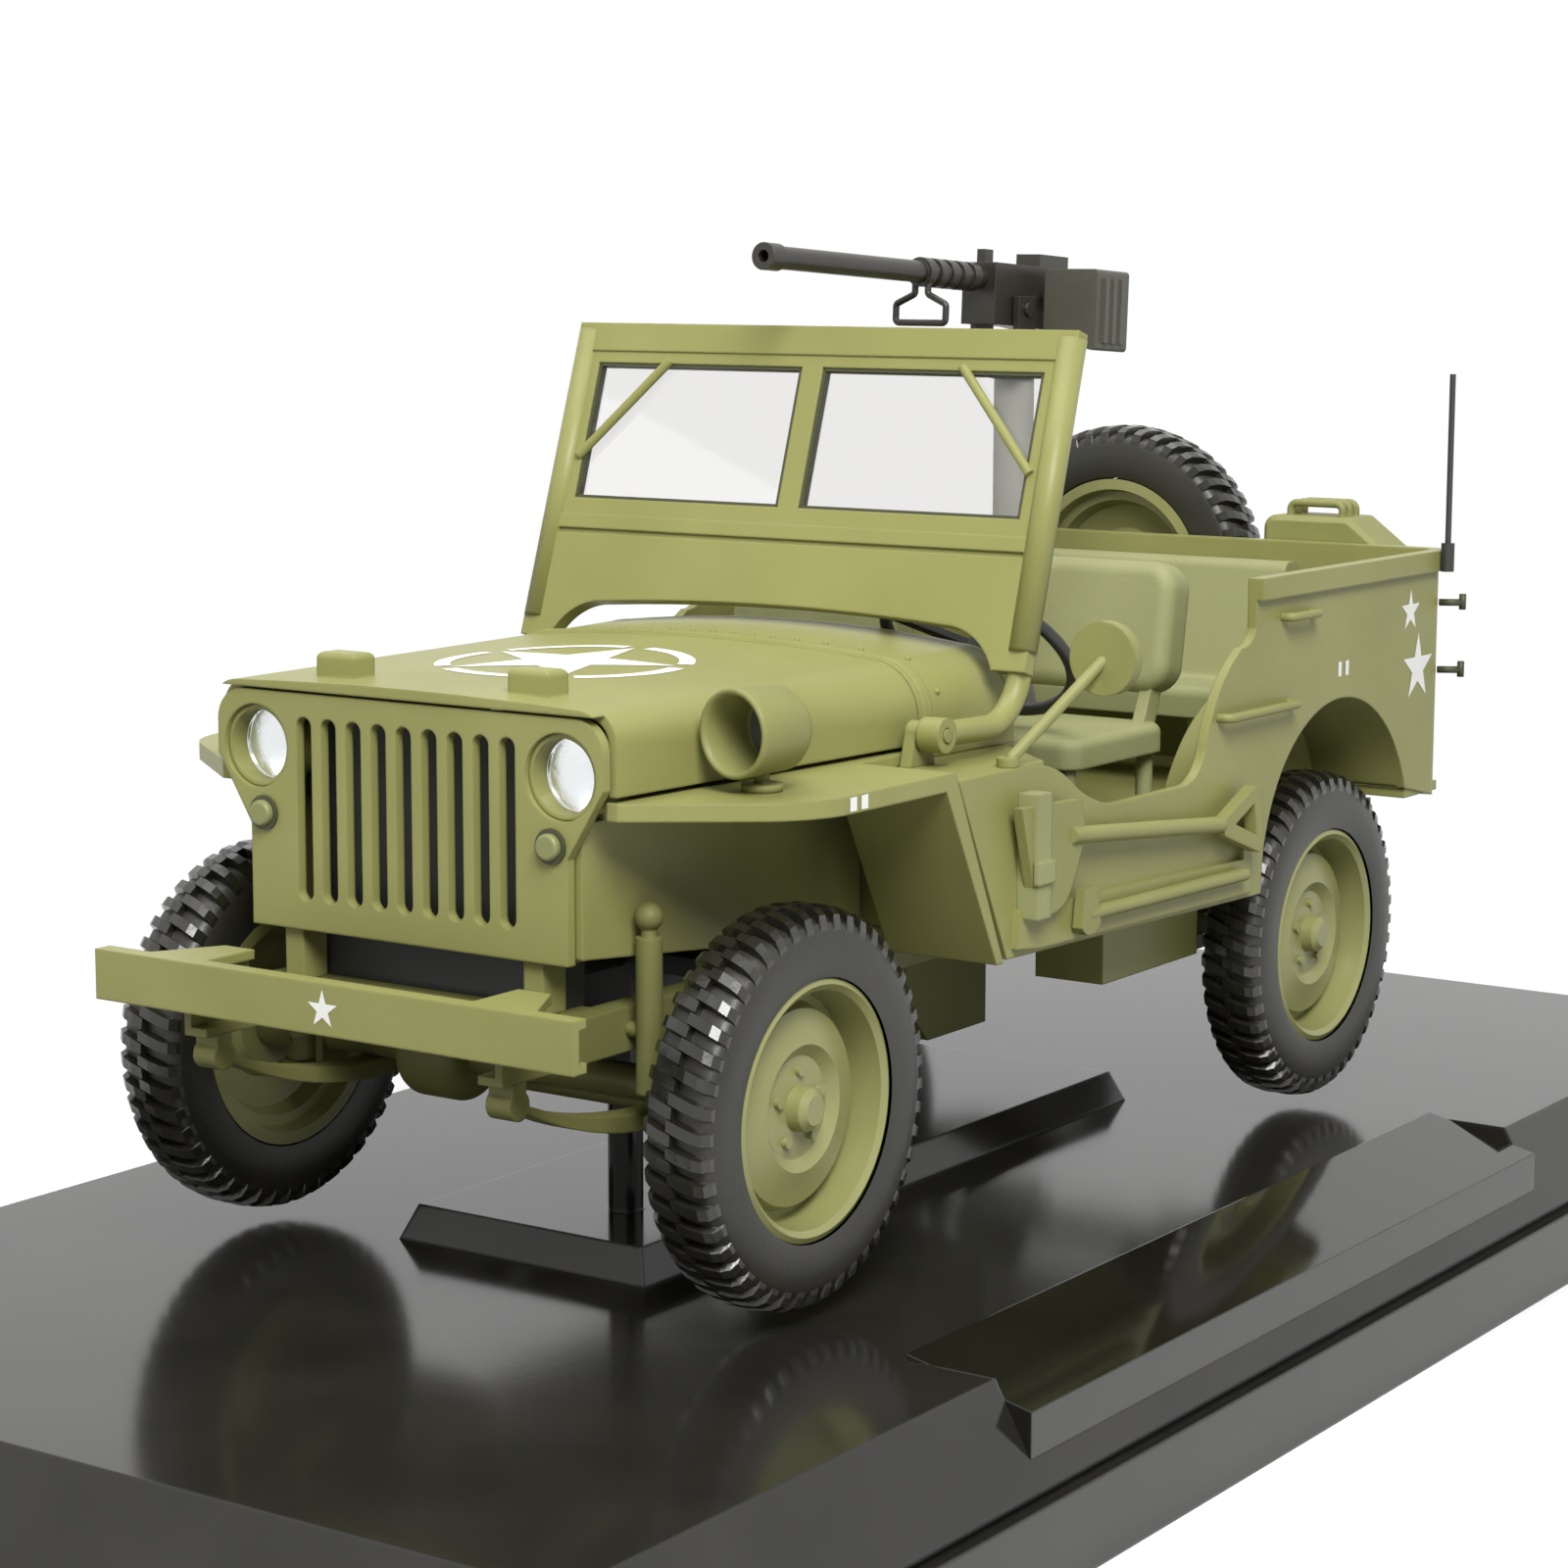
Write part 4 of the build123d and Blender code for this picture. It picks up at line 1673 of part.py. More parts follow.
with BuildPart() as ammunition_box:
    with BuildSketch(cross_plane(BOX_BACK)):
        with BuildLine():
            Polyline(
                (BOX_INNER_X, BARREL_AXIS - 6.6),
                (BOX_OUTER_X, BARREL_AXIS - 8.4),
                (BOX_OUTER_X, BARREL_AXIS + 1.6),
                (BOX_INNER_X, BARREL_AXIS + 1.6),
                close=True,
            )
        make_face()
    extrude(amount=BOX_BACK - BOX_FRONT)
    fillet(ammunition_box.part.edges().filter_by(Axis.Y), radius=0.5)
    for rib in range(BOX_RIBS):
        rib_back = BOX_FRONT + (BOX_BACK - BOX_FRONT) * (rib + 1) / (BOX_RIBS + 1)
        with BuildSketch(side_plane(BOX_OUTER_X - 0.1)):
            with Locations((rib_back, BARREL_AXIS - 3.4)):
                Rectangle(0.9, 8.0)
        extrude(amount=0.5)
    with BuildSketch(side_plane(RECEIVER_HALF + 0.05)):
        with Locations((BOX_FRONT + 4.5, BARREL_AXIS - 2.4)):
            Rectangle(4.0, 1.4)
    extrude(amount=BOX_INNER_X + 0.3 - RECEIVER_HALF)
ammunition_box.part = raise_gun(ammunition_box.part)
finish(ammunition_box, "ammunition_box")
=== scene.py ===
import json
import math

import bmesh
import bpy
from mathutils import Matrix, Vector
from mathutils.bvhtree import BVHTree


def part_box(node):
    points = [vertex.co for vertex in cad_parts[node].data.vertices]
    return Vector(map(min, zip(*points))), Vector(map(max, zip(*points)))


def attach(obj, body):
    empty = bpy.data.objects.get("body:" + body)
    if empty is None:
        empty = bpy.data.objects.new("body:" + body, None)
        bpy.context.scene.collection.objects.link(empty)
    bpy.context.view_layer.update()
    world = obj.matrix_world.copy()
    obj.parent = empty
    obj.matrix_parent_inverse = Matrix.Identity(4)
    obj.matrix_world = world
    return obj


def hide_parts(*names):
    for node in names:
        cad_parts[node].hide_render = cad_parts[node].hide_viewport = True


# Looks of a die-cast army 4x4 car on its display plinth, in the frame of the CAD: +Z is up,
# the car's nose points to -Y, its left side to +X, and the origin is under the plinth. Sizes of
# the car are in millimetres, turned into metres by MM; floor, lights and camera are in metres.

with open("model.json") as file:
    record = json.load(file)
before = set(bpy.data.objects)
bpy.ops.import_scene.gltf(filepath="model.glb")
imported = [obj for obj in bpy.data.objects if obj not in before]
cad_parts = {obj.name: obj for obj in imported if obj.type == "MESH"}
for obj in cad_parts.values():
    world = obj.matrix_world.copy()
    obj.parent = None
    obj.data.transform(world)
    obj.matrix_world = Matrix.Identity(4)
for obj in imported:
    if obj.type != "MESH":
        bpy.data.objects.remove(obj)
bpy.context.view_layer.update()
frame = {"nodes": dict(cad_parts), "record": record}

MM = 0.001
LEFT = Vector((1, 0, 0))
BACK = Vector((0, 1, 0))
UP = Vector((0, 0, 1))
FRONT_AXLE_Y = -62.0
ROAD_Z = 21.5


# A place on the car: x, distance behind the front axle, height above the tyres' lowest point
def spot(x, back, up):
    return Vector((x, FRONT_AXLE_Y + back, ROAD_Z + up)) * MM


# Materials
def new_material(name):
    material = bpy.data.materials.new(name)
    material.use_nodes = True
    nodes = material.node_tree.nodes
    links = material.node_tree.links
    return material, nodes, links, nodes["Principled BSDF"]


def object_noise(nodes, links, scale, detail=3.0, rough=0.5):
    coords = nodes.new("ShaderNodeTexCoord")
    noise = nodes.new("ShaderNodeTexNoise")
    noise.inputs["Scale"].default_value = scale
    noise.inputs["Detail"].default_value = detail
    noise.inputs["Roughness"].default_value = rough
    links.new(coords.outputs["Object"], noise.inputs["Vector"])
    return noise


def color_range(nodes, links, factor, low, high, start=0.3, stop=0.7):
    ramp = nodes.new("ShaderNodeValToRGB")
    ramp.color_ramp.elements[0].position = start
    ramp.color_ramp.elements[0].color = (*low, 1.0)
    ramp.color_ramp.elements[1].position = stop
    ramp.color_ramp.elements[1].color = (*high, 1.0)
    links.new(factor, ramp.inputs["Fac"])
    return ramp.outputs["Color"]


def value_range(nodes, links, factor, low, high):
    spread = nodes.new("ShaderNodeMapRange")
    spread.inputs["To Min"].default_value = low
    spread.inputs["To Max"].default_value = high
    links.new(factor, spread.inputs["Value"])
    return spread.outputs["Result"]


DRIFT_SCALE = 55.0
GRAIN_DETAIL = 4.0
GRAIN_ROUGH = 0.6
GRAIN_DEPTH = 0.05
EDGE_SAMPLES = 4
COAT_ROUGHNESS = 0.25


def surface(
        name, low, high, roughness, grain, grain_scale,
        metallic=0.0, specular=0.5, coat=0.0, round_edge=0.0):
    """Colour that drifts between two tones, with a fine grain and, where asked, rounded edges."""
    material, nodes, links, shader = new_material(name)
    drift = object_noise(nodes, links, DRIFT_SCALE)
    links.new(color_range(nodes, links, drift.outputs["Fac"], low, high), shader.inputs["Base Color"])
    fine = object_noise(nodes, links, grain_scale, GRAIN_DETAIL, GRAIN_ROUGH)
    links.new(value_range(nodes, links, fine.outputs["Fac"], *roughness), shader.inputs["Roughness"])
    bump = nodes.new("ShaderNodeBump")
    bump.inputs["Strength"].default_value = grain
    bump.inputs["Distance"].default_value = GRAIN_DEPTH * MM
    links.new(fine.outputs["Fac"], bump.inputs["Height"])
    if round_edge:
        bevel = nodes.new("ShaderNodeBevel")
        bevel.samples = EDGE_SAMPLES
        bevel.inputs["Radius"].default_value = round_edge * MM
        links.new(bevel.outputs["Normal"], bump.inputs["Normal"])
    links.new(bump.outputs["Normal"], shader.inputs["Normal"])
    shader.inputs["Metallic"].default_value = metallic
    shader.inputs["Specular IOR Level"].default_value = specular
    shader.inputs["Coat Weight"].default_value = coat
    shader.inputs["Coat Roughness"].default_value = COAT_ROUGHNESS
    return material


# Each call: name, the two tones, the range of roughness, how strong the grain is and its scale
paint = surface(
    "olive_paint", (0.245, 0.245, 0.080), (0.283, 0.283, 0.098), (0.36, 0.48), 0.25, 2600.0,
    specular=0.28, coat=0.06, round_edge=0.35)
chassis_paint = surface(
    "chassis_paint", (0.150, 0.150, 0.050), (0.190, 0.190, 0.064), (0.42, 0.56), 0.3, 2600.0,
    specular=0.3, round_edge=0.3)
trim_olive = surface(
    "trim_olive", (0.225, 0.228, 0.078), (0.268, 0.272, 0.096), (0.4, 0.55), 0.35, 2200.0,
    specular=0.3, round_edge=0.3)
seat_olive = surface(
    "seat_olive", (0.255, 0.265, 0.115), (0.30, 0.31, 0.14), (0.6, 0.75), 0.7, 2400.0, round_edge=0.4)
rim_paint = surface(
    "rim_paint", (0.235, 0.238, 0.088), (0.275, 0.278, 0.104), (0.30, 0.42), 0.2, 2600.0, coat=0.1)
rubber = surface(
    "tyre_rubber", (0.016, 0.0155, 0.011), (0.028, 0.027, 0.019), (0.30, 0.48), 0.6, 3000.0)
tread_rubber = surface(
    "tread_rubber", (0.012, 0.0115, 0.008), (0.022, 0.021, 0.015), (0.18, 0.30), 0.5, 3000.0, coat=0.35)
plinth_gloss = surface(
    "plinth_gloss", (0.014, 0.0135, 0.011), (0.022, 0.021, 0.017), (0.10, 0.16), 0.08, 900.0,
    specular=0.42, round_edge=0.5)
plate_gloss = surface(
    "plate_gloss", (0.009, 0.0085, 0.006), (0.013, 0.012, 0.009), (0.05, 0.09), 0.04, 700.0,
    round_edge=0.25)
gun_metal = surface(
    "gun_metal", (0.016, 0.0145, 0.010), (0.030, 0.027, 0.019), (0.30, 0.44), 0.5, 2600.0,
    coat=0.1, round_edge=0.2)
box_metal = surface(
    "box_metal", (0.060, 0.057, 0.042), (0.090, 0.086, 0.064), (0.36, 0.50), 0.5, 2600.0,
    round_edge=0.25)
dark_plastic = surface(
    "dark_plastic", (0.02, 0.02, 0.019), (0.035, 0.035, 0.033), (0.4, 0.55), 0.4, 2600.0)
marker_olive = surface(
    "marker_olive", (0.19, 0.20, 0.075), (0.23, 0.245, 0.095), (0.35, 0.5), 0.3, 2600.0)
tail_red = surface(
    "tail_red", (0.22, 0.02, 0.015), (0.30, 0.03, 0.02), (0.25, 0.35), 0.1, 2000.0)
post_grey = surface(
    "post_grey", (0.30, 0.30, 0.27), (0.36, 0.36, 0.32), (0.35, 0.5), 0.2, 2600.0, round_edge=0.2)
seal_dark = surface(
    "seal_dark", (0.040, 0.042, 0.018), (0.058, 0.060, 0.027), (0.5, 0.6), 0.2, 2600.0)
stencil_white = surface(
    "stencil_white", (0.80, 0.80, 0.76), (0.88, 0.88, 0.84), (0.5, 0.6), 0.15, 2600.0)
reflector = surface(
    "lamp_reflector", (0.88, 0.89, 0.90), (0.96, 0.97, 0.97), (0.12, 0.22), 0.6, 1800.0, metallic=1.0)

RIPPLE_DEPTH = 0.08
GLASS_IOR = 1.45


def clear_material(name, tint, roughness, grain, grain_scale):
    material, nodes, links, shader = new_material(name)
    fine = object_noise(nodes, links, grain_scale)
    links.new(value_range(nodes, links, fine.outputs["Fac"], *roughness), shader.inputs["Roughness"])
    bump = nodes.new("ShaderNodeBump")
    bump.inputs["Strength"].default_value = grain
    bump.inputs["Distance"].default_value = RIPPLE_DEPTH * MM
    links.new(fine.outputs["Fac"], bump.inputs["Height"])
    links.new(bump.outputs["Normal"], shader.inputs["Normal"])
    shader.inputs["Base Color"].default_value = (*tint, 1.0)
    shader.inputs["Transmission Weight"].default_value = 1.0
    shader.inputs["IOR"].default_value = GLASS_IOR
    return material


lens_clear = clear_material("lens_clear", (0.97, 0.98, 0.98), (0.02, 0.08), 0.5, 900.0)
pane_clear = clear_material("pane_clear", (0.82, 0.815, 0.80), (0.0, 0.03), 0.02, 300.0)

MATERIALS = {
    "plinth": plinth_gloss,
    "nameplate": plate_gloss,
    "body_paint": paint,
    "chassis_paint": chassis_paint,
    "trim_plastic": trim_olive,
    "seat_plastic": seat_olive,
    "tyre": rubber,
    "rim": rim_paint,
    "lens": lens_clear,
    "lamp_bowl": reflector,
    "screen_glass": pane_clear,
    "marker": marker_olive,
    "tail_lamp": tail_red,
    "gun_metal": gun_metal,
    "post_grey": post_grey,
    "dark_trim": dark_plastic,
    "aerial": dark_plastic,
}
node_slots = {part["node"]: part["material_slot"] for part in frame["record"]["subparts"]}
for node_name, node_object in frame["nodes"].items():
    node_object.data.materials.clear()
    node_object.data.materials.append(MATERIALS[node_slots[node_name]])
frame["nodes"]["ammunition_box"].data.materials[0] = box_metal

# The lamp bowls: painted rims round the bright reflectors
LAMP_RIM_WIDTH = 0.75
bowls = frame["nodes"]["headlamps"]
bowl_low, bowl_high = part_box("headlamps")
lamp_radius = (bowl_high[2] - bowl_low[2]) / 2
lamp_x = bowl_high[0] - lamp_radius
lamp_z = (bowl_high[2] + bowl_low[2]) / 2
bowls.data.materials.append(paint)
for face in bowls.data.polygons:
    centre = bowls.matrix_world @ face.center
    reach = math.hypot(abs(centre.x) - lamp_x, centre.z - lamp_z)
    if reach > lamp_radius - LAMP_RIM_WIDTH * MM:
        face.material_index = 1


# What the made pieces share
def add_ring(form, centre, across, up, radius, steps):
    """A ring of vertices round a place, its radius in millimetres."""
    loop = []
    for step in range(steps):
        angle = 2 * math.pi * step / steps
        way = across * math.cos(angle) + up * math.sin(angle)
        loop.append(form.verts.new(centre + way * radius * MM))
    return loop


def add_skin(form, rows, closed=False):
    """Faces between neighbouring rows of vertices, which close on themselves where asked."""
    faces = []
    for here, after in zip(rows, rows[1:]):
        count = len(here)
        for k in range(count if closed else count - 1):
            follow = (k + 1) % count
            faces.append(form.faces.new((here[k], here[follow], after[follow], after[k])))
    return faces


def add_turned(form, centre, along, across, up, profile, steps):
    """A turned form that starts and ends in a point, and the faces round its first point."""
    first = form.verts.new(centre + along * profile[0][0] * MM)
    loops = [
        add_ring(form, centre + along * distance * MM, across, up, radius, steps)
        for distance, radius in profile[1:-1]]
    last = form.verts.new(centre + along * profile[-1][0] * MM)
    first_faces = []
    for k in range(steps):
        first_faces.append(form.faces.new((first, loops[0][k], loops[0][(k + 1) % steps])))
    add_skin(form, loops, closed=True)
    for k in range(steps):
        form.faces.new((loops[-1][k], loops[-1][(k + 1) % steps], last))
    return first_faces


ROD_SIDES = 16


def add_rod(form, start, stop, radius):
    """A round bar between two places, closed at both ends."""
    along = (stop - start).normalized()
    across = along.orthogonal().normalized()
    other = along.cross(across)
    loops = [add_ring(form, place, across, other, radius, ROD_SIDES) for place in (start, stop)]
    for face in add_skin(form, loops, closed=True):
        face.smooth = True
    form.faces.new(loops[0][::-1])
    form.faces.new(loops[1])


def add_bar(form, start, stop, width_way, width, height_way, height):
    """A square bar between two places, with its cross-section along two directions."""
    loops = []
    for place in (start, stop):
        loop = []
        for w, h in ((-1, -1), (1, -1), (1, 1), (-1, 1)):
            corner = place + width_way * w * width / 2 * MM + height_way * h * height / 2 * MM
            loop.append(form.verts.new(corner))
        loops.append(loop)
    add_skin(form, loops, closed=True)
    form.faces.new(loops[0][::-1])
    form.faces.new(loops[1])


def link_piece(name, form, material, body):
    mesh = bpy.data.meshes.new(name)
    form.to_mesh(mesh)
    form.free()
    mesh.materials.append(material)
    piece = bpy.data.objects.new(name, mesh)
    bpy.context.scene.collection.objects.link(piece)
    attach(piece, body)
    return piece


def form_piece(name, form, material, body):
    bmesh.ops.recalc_face_normals(form, faces=form.faces[:])
    return link_piece(name, form, material, body)


def node_surface(cad_node):
    node = frame["nodes"][cad_node]
    return BVHTree.FromPolygons(
        [node.matrix_world @ v.co for v in node.data.vertices],
        [tuple(p.vertices) for p in node.data.polygons])


# Tyres with the fine lugs of the real tread
CARCASS = (
    # radius, distance from the middle plane, from the bead over the sidewall to the tread
    (13.3, 3.7),
    (14.2, 3.92),
    (16.0, 4.0),
    (17.6, 3.9),
    (18.6, 3.5),
    (19.1, 2.8),
    (19.3, 1.4),
    (19.3, 0.0),
)
LUG_STATIONS = (
    # distance from the middle plane, foot radius, top radius
    (-0.25, 19.0, 20.25),
    (1.2, 19.0, 20.3),
    (2.6, 18.8, 20.05),
    (3.4, 18.1, 19.5),
    (3.76, 17.4, 18.5),
)
LUGS_PER_SIDE = 48
# Shares of a lug's pitch: the width of its top and its foot, its slant a millimetre and its turn
LUG_TOP_SHARE = 0.44
LUG_FOOT_SHARE = 0.66
LUG_SLANT = 0.12
LUG_TURN = 0.25
TURNS = 108


def make_tyre(name, centre, outward, body, cad_node):
    across = outward.cross(UP)

    def place(radius, offset, share):
        angle = 2 * math.pi * share
        turned = UP * math.cos(angle) + across * math.sin(angle)
        return centre + outward * offset * MM + turned * radius * MM

    form = bmesh.new()
    profile = [(r, o) for r, o in CARCASS] + [(r, -o) for r, o in reversed(CARCASS[:-1])]
    hoops = []
    for turn in range(TURNS):
        hoops.append([form.verts.new(place(r, o, turn / TURNS)) for r, o in profile])
    for face in add_skin(form, hoops + hoops[:1]):
        face.smooth = True
    half_top = LUG_TOP_SHARE / 2 / LUGS_PER_SIDE
    half_foot = LUG_FOOT_SHARE / 2 / LUGS_PER_SIDE
    for side in (1, -1):
        for lug in range(LUGS_PER_SIDE):
            middle = (lug + side * LUG_TURN) / LUGS_PER_SIDE
            rows = []
            for offset, foot, top in LUG_STATIONS:
                share = middle + side * offset * LUG_SLANT / LUGS_PER_SIDE
                corners = (
                    (foot, share - half_foot), (top, share - half_top),
                    (top, share + half_top), (foot, share + half_foot))
                rows.append([form.verts.new(place(r, side * offset, at)) for r, at in corners])
            lug_faces = add_skin(form, rows)
            lug_faces.append(form.faces.new(rows[0]))
            lug_faces.append(form.faces.new(rows[-1][::-1]))
            for face in lug_faces:
                face.material_index = 1
    tyre = form_piece(name, form, rubber, body)
    tyre.data.materials.append(tread_rubber)
    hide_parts(cad_node)


for wheel in ("front_left", "front_right", "rear_left", "rear_right"):
    low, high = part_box("tyre_" + wheel)
    side = 1 if wheel.endswith("left") else -1
    make_tyre(
        "fine_tyre_" + wheel, (Vector(low) + Vector(high)) / 2, LEFT * side,
        "wheel_" + wheel, "tyre_" + wheel)
low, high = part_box("spare_tyre")
make_tyre("fine_spare_tyre", (Vector(low) + Vector(high)) / 2, BACK, "chassis", "spare_tyre")

# Round tubes along both edges of the windscreen
SCREEN_BASE = spot(0, 46.9, 63.2)
SCREEN_UP = (spot(0, 57.2, 95.4) - SCREEN_BASE).normalized()
SCREEN_OUT = LEFT.cross(SCREEN_UP)
SIDE_TUBE_RADIUS = 1.6
# The tubes' ends: distance from the middle, height up the windscreen's plane
SIDE_TUBE_LOW = (33.4, -2.0)
SIDE_TUBE_HIGH = (33.0, 33.0)


def screen_place(side, across, up):
    return SCREEN_BASE + LEFT * side * across * MM + SCREEN_UP * up * MM


tubes = bmesh.new()
for side in (-1, 1):
    low_end = screen_place(side, *SIDE_TUBE_LOW)
    high_end = screen_place(side, *SIDE_TUBE_HIGH)
    add_rod(tubes, low_end, high_end, SIDE_TUBE_RADIUS)
form_piece("screen_side_tubes", tubes, paint, "windscreen")

# Dark seals round the panes
pane_low, pane_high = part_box("windscreen_glass")
SEAL_WIDTH = 0.35
SEAL_DEPTH = 1.3
SEAL_INSET = 0.25
SEAL_OUTER_INSET = 0.15
PANE_INNER_X = 1.4
seal_inner_x = PANE_INNER_X + SEAL_INSET
seal_outer_x = pane_high[0] / MM - SEAL_OUTER_INSET
seal_low = (pane_low[2] - SCREEN_BASE.z) / SCREEN_UP.z / MM + SEAL_INSET
seal_high = (pane_high[2] - SCREEN_BASE.z) / SCREEN_UP.z / MM - SEAL_INSET
seals = bmesh.new()
for side in (-1, 1):
    corners = [
        screen_place(side, seal_inner_x, seal_low), screen_place(side, seal_outer_x, seal_low),
        screen_place(side, seal_outer_x, seal_high), screen_place(side, seal_inner_x, seal_high)]
    for start, stop in zip(corners, corners[1:] + corners[:1]):
        along = (stop - start).normalized()
        add_bar(seals, start, stop, along.cross(SCREEN_OUT), SEAL_WIDTH, SCREEN_OUT, SEAL_DEPTH)
form_piece("pane_seals", seals, seal_dark, "windscreen")

# Dark rims round the marker lamps
marker_low, marker_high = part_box("marker_lamps")
MARKER_RIM = 0.45
MARKER_RIM_FRONT = 0.35
MARKER_RIM_BACK = 0.2
MARKER_RIM_STEPS = 32
marker_z = (marker_low[2] + marker_high[2]) / 2
marker_radius = (marker_high[2] - marker_low[2]) / 2
marker_x = marker_high[0] - marker_radius
inner_radius = marker_radius / MM
outer_radius = inner_radius + MARKER_RIM
rims = bmesh.new()
for side in (-1, 1):
    front = Vector((side * marker_x, marker_high[1] - MARKER_RIM_FRONT * MM, marker_z))
    back = Vector((side * marker_x, marker_high[1] + MARKER_RIM_BACK * MM, marker_z))
    loops = [
        add_ring(rims, place, LEFT, UP, radius, MARKER_RIM_STEPS)
        for place, radius in ((front, inner_radius), (front, outer_radius), (back, outer_radius))]
    add_skin(rims, loops, closed=True)
form_piece("marker_rims", rims, seal_dark, "chassis")

# Lashing hooks at the rear corners
HOOK_LEVELS = (51.0, 59.7)
HOOK_RADIUS = 0.45
# Distance from the middle, distance behind the front axle
HOOK_ROOT = (39.7, 140.4)
HOOK_TIP = (42.3, 141.9)
HOOK_BELOW = 0.9
HOOK_ABOVE = 1.1
hooks = bmesh.new()
for side in (-1, 1):
    for height in HOOK_LEVELS:
        root = spot(side * HOOK_ROOT[0], HOOK_ROOT[1], height)
        tip = spot(side * HOOK_TIP[0], HOOK_TIP[1], height)
        add_rod(hooks, root, tip, HOOK_RADIUS)
        add_rod(hooks, tip - UP * HOOK_BELOW * MM, tip + UP * HOOK_ABOVE * MM, HOOK_RADIUS)
form_piece("lashing_hooks", hooks, seal_dark, "chassis")

# Raised bead and rivets over the seam between bonnet and cowl
BEAD_BACK = 34.6
BEAD_TURNS = (15.0, 165.0)
BEAD_STEPS = 90
BEAD_PROFILE = (
    # distance behind the bead's middle, height above the cowl
    (-0.9, -0.1),
    (-0.675, 0.35),
    (0.675, 0.35),
    (0.9, -0.1),
)
RIVET_GAP = 2.6
RIVET_TURNS = (24.0, 156.0)
RIVET_COUNT = 16
RIVET_RADIUS = 0.38
RIVET_SIDES = 10
RIVET_ROWS = 6
COWL_MIDDLE = 45.0
COWL_REACH = 60
cowl_skin = node_surface("cowl")


def cowl_point(back, angle, lift):
    way = Vector((math.cos(angle), 0, math.sin(angle)))
    start = spot(0, back, COWL_MIDDLE) + way * COWL_REACH * MM
    hit, normal = cowl_skin.ray_cast(start, -way, COWL_REACH * MM)[:2]
    return hit + normal * lift * MM


def turn_between(turns, share):
    return math.radians(turns[0] + (turns[1] - turns[0]) * share)


bead = bmesh.new()
rows = []
for step in range(BEAD_STEPS + 1):
    angle = turn_between(BEAD_TURNS, step / BEAD_STEPS)
    rows.append([
        bead.verts.new(cowl_point(BEAD_BACK + shift, angle, lift)) for shift, lift in BEAD_PROFILE])
add_skin(bead, rows)
form_piece("cowl_bead", bead, paint, "chassis")

rivet_profile = []
for row in range(RIVET_ROWS + 1):
    angle = math.pi * row / RIVET_ROWS
    rivet_profile.append((RIVET_RADIUS * math.cos(angle), RIVET_RADIUS * math.sin(angle)))
rivets = bmesh.new()
for step in range(RIVET_COUNT):
    angle = turn_between(RIVET_TURNS, step / (RIVET_COUNT - 1))
    place = cowl_point(BEAD_BACK + RIVET_GAP, angle, 0.0)
    add_turned(rivets, place, UP, BACK, LEFT, rivet_profile, RIVET_SIDES)
form_piece("cowl_rivets", rivets, paint, "chassis")

# The hooded lamp, deeper and turned inwards as in the photograph
HOOD_PLACE = spot(32.0, -1.0, 57.8)
HOOD_TURN = math.radians(-9.0)
HOOD_PROFILE = (
    # distance behind the middle, radius: from the lens out over the lip and round to the back
    (1.6, 0.0),
    (1.6, 3.2),
    (1.0, 3.3),
    (-3.6, 3.75),
    (-4.2, 3.95),
    (-4.3, 4.2),
    (-4.2, 4.45),
    (-3.8, 4.5),
    (2.4, 4.2),
    (3.2, 3.7),
    (3.7, 2.8),
    (3.8, 0.0),
)
HOOD_STEPS = 56
HOOD_STEM_RADIUS = 0.8
HOOD_STEM_TOP = 3.9
HOOD_FOOT_RADIUS = 2.1
HOOD_FOOT_HEIGHT = 0.8
HOOD_FOOT_OVERLAP = 0.1
hood_way = Vector((-math.sin(HOOD_TURN), math.cos(HOOD_TURN), 0))
hood_side = Vector((math.cos(HOOD_TURN), math.sin(HOOD_TURN), 0))
hood = bmesh.new()
lens_faces = add_turned(hood, HOOD_PLACE, hood_way, hood_side, UP, HOOD_PROFILE, HOOD_STEPS)
for face in lens_faces:
    face.material_index = 1
for face in hood.faces:
    face.smooth = True
foot_base = Vector((HOOD_PLACE.x, HOOD_PLACE.y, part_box("hooded_lamp")[0][2]))
foot_top = foot_base + UP * HOOD_FOOT_HEIGHT * MM
stem_base = foot_top - UP * HOOD_FOOT_OVERLAP * MM
stem_top = HOOD_PLACE - UP * HOOD_STEM_TOP * MM
add_rod(hood, stem_base, stem_top, HOOD_STEM_RADIUS)
add_rod(hood, foot_base, foot_top, HOOD_FOOT_RADIUS)
hooded_lamp = form_piece("fine_hooded_lamp", hood, trim_olive, "chassis")
hooded_lamp.data.materials.append(seal_dark)
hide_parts("hooded_lamp")

# Strap and buckle that hold the shovel
STRAP_BACK = 35.4
STRAP_X = 41.6
STRAP_HEIGHTS = (34.6, 48.0)
STRAP_WIDTH = 2.8
STRAP_DEPTH = 2.6
BUCKLE_X = 42.9
BUCKLE_HEIGHTS = (38.4, 40.8)
BUCKLE_WIDTH = 3.5
BUCKLE_DEPTH = 0.7
straps = bmesh.new()
add_bar(
    straps, spot(STRAP_X, STRAP_BACK, STRAP_HEIGHTS[0]), spot(STRAP_X, STRAP_BACK, STRAP_HEIGHTS[1]),
    BACK, STRAP_WIDTH, LEFT, STRAP_DEPTH)
add_bar(
    straps, spot(BUCKLE_X, STRAP_BACK, BUCKLE_HEIGHTS[0]), spot(BUCKLE_X, STRAP_BACK, BUCKLE_HEIGHTS[1]),
    BACK, BUCKLE_WIDTH, LEFT, BUCKLE_DEPTH)
form_piece("shovel_straps", straps, seat_olive, "chassis")

# Printed marks: thin skins laid on the paint, found by rays that start above it
MARK_LIFT = 0.05
MARK_START = 6
MARK_REACH = 30
STAR_WAIST = 0.382
RING_STEPS = 90
TICK_SHIFT = 1.0


